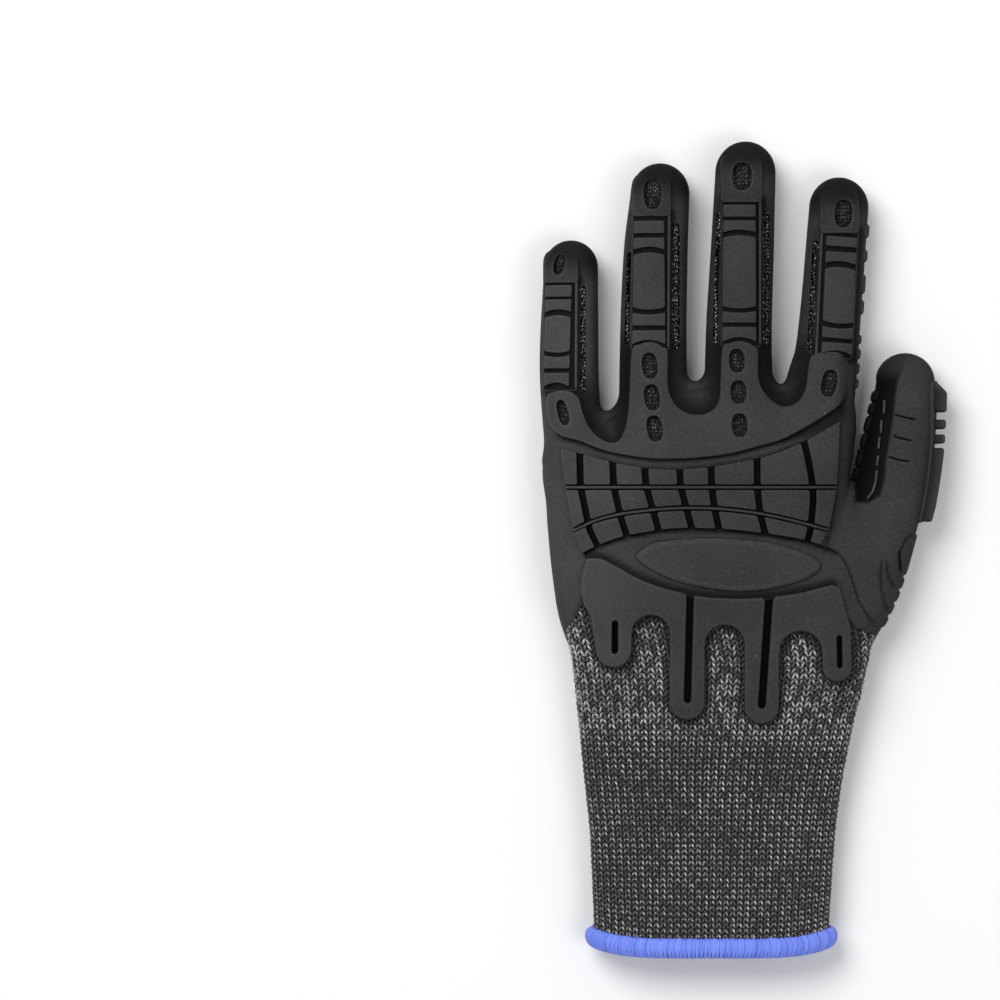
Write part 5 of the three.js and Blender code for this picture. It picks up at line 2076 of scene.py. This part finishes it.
def painted_floor(tree, color):
    tone = ramp(tree, noise(tree, place_on_piece(tree), 6.0, 3.0), 0.2, 0.8)
    paler = [min(1.0, c) for c in toned(color, 1.02)]
    return {"Base Color": mixed(tree, tone, (*color, 1), (*paler, 1)), "Roughness": 0.75}


# Settings


def colour(name, description, default):
    kind = {"min": 0, "max": 1, "size": 3, "subtype": "COLOR"}
    return bpy.props.FloatVectorProperty(name=name, description=description, default=default, **kind)


def amount(name, description, default, low, high, **kind):
    return bpy.props.FloatProperty(
        name=name, description=description, default=default, min=low, max=high, **kind
    )


class GloveRubber(bpy.types.PropertyGroup):
    coat_color: colour("Coat", "Colour of the rubber coat", (0.036, 0.0345, 0.0345))
    guard_color: colour("Guards", "Colour of the raised guards", (0.037, 0.035, 0.0345))
    # The rubber's colour in painted shade, in grooves and on flanks.
    deep_color: colour("Shaded rubber", "Colour in grooves and on flanks", (0.002, 0.002, 0.0023))
    dust_color: colour("Dust", "Colour of the dust in the rubber's grain", (0.24, 0.23, 0.22))
    dust: amount("Dust amount", "How much dust lies on the rubber", 0.09, 0, 1, subtype="FACTOR")
    grain: amount("Grain", "Size of the moulded grain", 0.0009, 0.0003, 0.003, unit="LENGTH")
    fineness: amount("Mesh step", "Spacing of the coat's mesh", 0.0009, 0.0006, 0.003, unit="LENGTH")


class GloveKnit(bpy.types.PropertyGroup):
    dark_color: colour("Dark yarn", "Colour of the dark fibres", (0.041, 0.038, 0.044))
    light_color: colour("Light yarn", "Colour of the pale fibres", (0.7, 0.67, 0.63))
    contrast: amount(
        "Fibre contrast", "How much the fibres of one stitch differ in tone", 1.3, 0, 4,
        subtype="FACTOR",
    )
    fineness: amount(
        "Mesh step", "Spacing of the lining's mesh", 0.0018, 0.0008, 0.004, unit="LENGTH"
    )


class GloveHem(bpy.types.PropertyGroup):
    thread_color: colour("Thread", "Colour of the hem's thread", (0.19, 0.28, 0.86))
    # The thread's colour in painted shade, for the gaps, and also the dark end of each thread's random
    # tone.
    deep_color: colour("Deep thread", "Colour of the thread in the gaps", (0.03, 0.045, 0.42))


class GloveStage(bpy.types.PropertyGroup):
    floor_color: colour("Floor", "Colour of the floor", (0.86, 0.86, 0.86))
    lamp_power: amount("Lamp power", "Power of the main soft lamp", 15.5, 0, 200, unit="POWER")
    lens: amount("Lens", "Focal length of the camera", 200.0, 20, 300, unit="CAMERA")


# Operators


class Undoable:
    bl_options = {"REGISTER", "UNDO"}


class AddCoat(Undoable, bpy.types.Operator):
    """Adds the rubber coat with its vents and side openings"""

    bl_idname = "glove.add_coat"
    bl_label = "Rubber coat"

    def execute(self, context):
        build_coat(coat_material(), context.scene.glove_rubber.fineness / MM)
        return {"FINISHED"}


class AddFingerGuards(Undoable, bpy.types.Operator):
    """Adds the strip of pads and bars on each finger"""

    bl_idname = "glove.add_finger_guards"
    bl_label = "Finger guards"

    def execute(self, context):
        build_finger_guards(guard_material())
        return {"FINISHED"}


class AddKnuckleGuard(Undoable, bpy.types.Operator):
    """Adds the pad over the knuckles with its arched finger roots"""

    bl_idname = "glove.add_knuckle_guard"
    bl_label = "Knuckle guard"

    def execute(self, context):
        build_knuckle_guard(guard_material())
        return {"FINISHED"}


class AddBackGuard(Undoable, bpy.types.Operator):
    """Adds the tiles, boss and tongues on the back of the hand"""

    bl_idname = "glove.add_back_guard"
    bl_label = "Back guard"

    def execute(self, context):
        build_back_guard(guard_material())
        return {"FINISHED"}


class AddThumbGuard(Undoable, bpy.types.Operator):
    """Adds the row of blocks along the thumb"""

    bl_idname = "glove.add_thumb_guard"
    bl_label = "Thumb guard"

    def execute(self, context):
        build_thumb_guard(guard_material())
        return {"FINISHED"}


class AddSideRibs(Undoable, bpy.types.Operator):
    """Adds the ribs and creases on the sides of the thumb and index finger"""

    bl_idname = "glove.add_side_ribs"
    bl_label = "Side ribs"

    def execute(self, context):
        build_side_ribs(coat_material())
        return {"FINISHED"}


class AddPalmPads(Undoable, bpy.types.Operator):
    """Adds the grip pads on the palm side"""

    bl_idname = "glove.add_palm_pads"
    bl_label = "Palm pads"

    def execute(self, context):
        build_palm_pads(coat_material())
        return {"FINISHED"}


class AddKnitLining(Undoable, bpy.types.Operator):
    """Adds the knitted liner and the tube of the cuff"""

    bl_idname = "glove.add_knit_lining"
    bl_label = "Knit lining"

    def execute(self, context):
        build_knit_lining(lining_material(), context.scene.glove_knit.fineness / MM)
        return {"FINISHED"}


class AddCuffStitches(Undoable, bpy.types.Operator):
    """Adds the stitches on the outside of the cuff"""

    bl_idname = "glove.add_cuff_stitches"
    bl_label = "Cuff stitches"

    def execute(self, context):
        build_cuff_stitches(stitch_material())
        return {"FINISHED"}


class AddOpeningKnit(Undoable, bpy.types.Operator):
    """Adds the knit that shows in the vents and side openings"""

    bl_idname = "glove.add_opening_knit"
    bl_label = "Knit in the openings"

    def execute(self, context):
        build_opening_knit(opening_material())
        return {"FINISHED"}


class AddHem(Undoable, bpy.types.Operator):
    """Adds the overlocked hem at the cuff's end"""

    bl_idname = "glove.add_hem"
    bl_label = "Hem"

    def execute(self, context):
        build_hem_threads(thread_material())
        build_hem_core(hem_core_material())
        return {"FINISHED"}


# The photograph's frame, in millimetres: its middle and the height it is focused at, its width and
# the camera's sensor.
PHOTO_MIDDLE = (-79.15, 15.9, 12.0)
PHOTO_WIDTH = 325.0
SENSOR = 36.0

# Half the floor's side, then the soft lamps: place and size in metres, and share of the lamp power.
FLOOR_HALF = 2.0
LAMPS = {
    "Main lamp": ((-0.55, 0.65, 1.2), 0.9, 1.0),
    "Fill lamp": ((0.6, -0.4, 1.3), 0.8, 0.3),
}
SKY_STRENGTH = 0.47


def put_on_stage(name, data, place=(0, 0, 0)):
    """Something that belongs to the stage and not to the glove."""
    thing = bpy.data.objects.new(name, data)
    thing.location = place
    bpy.context.scene.collection.objects.link(thing)
    return thing


def add_floor(color):
    mesh = bpy.data.meshes.new("floor")
    corners = [(x * FLOOR_HALF, y * FLOOR_HALF, 0) for x, y in ((-1, -1), (1, -1), (1, 1), (-1, 1))]
    mesh.from_pydata(corners, [], [(0, 1, 2, 3)])
    mesh.materials.append(material_of("Floor", painted_floor, color=color))
    put_on_stage("floor", mesh)


def add_lamp(name, place, size, power):
    """A round soft lamp that looks at the origin."""
    light = bpy.data.lights.new(name, "AREA")
    light.shape = "DISK"
    light.size = size
    light.energy = power
    lamp = put_on_stage(name, light, place)
    lamp.rotation_euler = (-Vector(place)).to_track_quat("-Z", "Y").to_euler()


def add_camera(lens):
    """A camera straight above the photograph's middle, which takes in the photograph's width."""
    data = bpy.data.cameras.new("Camera")
    data.lens = lens
    data.sensor_width = SENSOR
    data.sensor_fit = "HORIZONTAL"
    data.clip_start = 0.05
    data.clip_end = 20
    x, y, level = PHOTO_MIDDLE
    place = (x * MM, y * MM, (level + PHOTO_WIDTH * lens / SENSOR) * MM)
    bpy.context.scene.camera = put_on_stage("Camera", data, place)


def add_sky():
    world = bpy.data.worlds.new("Studio")
    world.use_nodes = True
    sky = world.node_tree.nodes["Background"].inputs
    sky["Color"].default_value = (1, 1, 1, 1)
    sky["Strength"].default_value = SKY_STRENGTH
    bpy.context.scene.world = world
    bpy.context.scene.view_settings.view_transform = "Standard"


class AddStage(Undoable, bpy.types.Operator):
    """Adds the pale floor, the soft light and the camera of the photograph"""

    bl_idname = "glove.add_stage"
    bl_label = "Stage"

    def execute(self, context):
        stage = context.scene.glove_stage
        add_floor(stage.floor_color)
        for name, (place, size, share) in LAMPS.items():
            add_lamp(name, place, size, stage.lamp_power * share)
        add_sky()
        add_camera(stage.lens)
        return {"FINISHED"}


PIECE_OPERATORS = (
    AddKnitLining,
    AddCoat,
    AddFingerGuards,
    AddKnuckleGuard,
    AddBackGuard,
    AddThumbGuard,
    AddSideRibs,
    AddPalmPads,
    AddCuffStitches,
    AddOpeningKnit,
    AddHem,
    AddStage,
)
SETTINGS = {
    "glove_rubber": GloveRubber,
    "glove_knit": GloveKnit,
    "glove_hem": GloveHem,
    "glove_stage": GloveStage,
}


class GlovePanel(bpy.types.Panel):
    """Settings and pieces of the glove"""

    bl_idname = "VIEW3D_PT_glove"
    bl_label = "Work glove"
    bl_space_type = "VIEW_3D"
    bl_region_type = "UI"
    bl_category = "Glove"

    def draw(self, context):
        for name, settings in SETTINGS.items():
            box = self.layout.box()
            for prop in settings.__annotations__:
                box.prop(getattr(context.scene, name), prop)
        for operator in PIECE_OPERATORS:
            self.layout.operator(operator.bl_idname)


CLASSES = (*SETTINGS.values(), *PIECE_OPERATORS, GlovePanel)


def register():
    for cls in CLASSES:
        bpy.utils.register_class(cls)
    for name, settings in SETTINGS.items():
        setattr(bpy.types.Scene, name, bpy.props.PointerProperty(type=settings))


def unregister():
    for name in SETTINGS:
        delattr(bpy.types.Scene, name)
    for cls in reversed(CLASSES):
        bpy.utils.unregister_class(cls)


def main():
    register()
    bpy.ops.glove.add_knit_lining()
    bpy.ops.glove.add_coat()
    bpy.ops.glove.add_finger_guards()
    bpy.ops.glove.add_knuckle_guard()
    bpy.ops.glove.add_back_guard()
    bpy.ops.glove.add_thumb_guard()
    bpy.ops.glove.add_side_ribs()
    bpy.ops.glove.add_palm_pads()
    bpy.ops.glove.add_cuff_stitches()
    bpy.ops.glove.add_opening_knit()
    bpy.ops.glove.add_hem()
    bpy.ops.glove.add_stage()


if __name__ == "__main__":
    main()
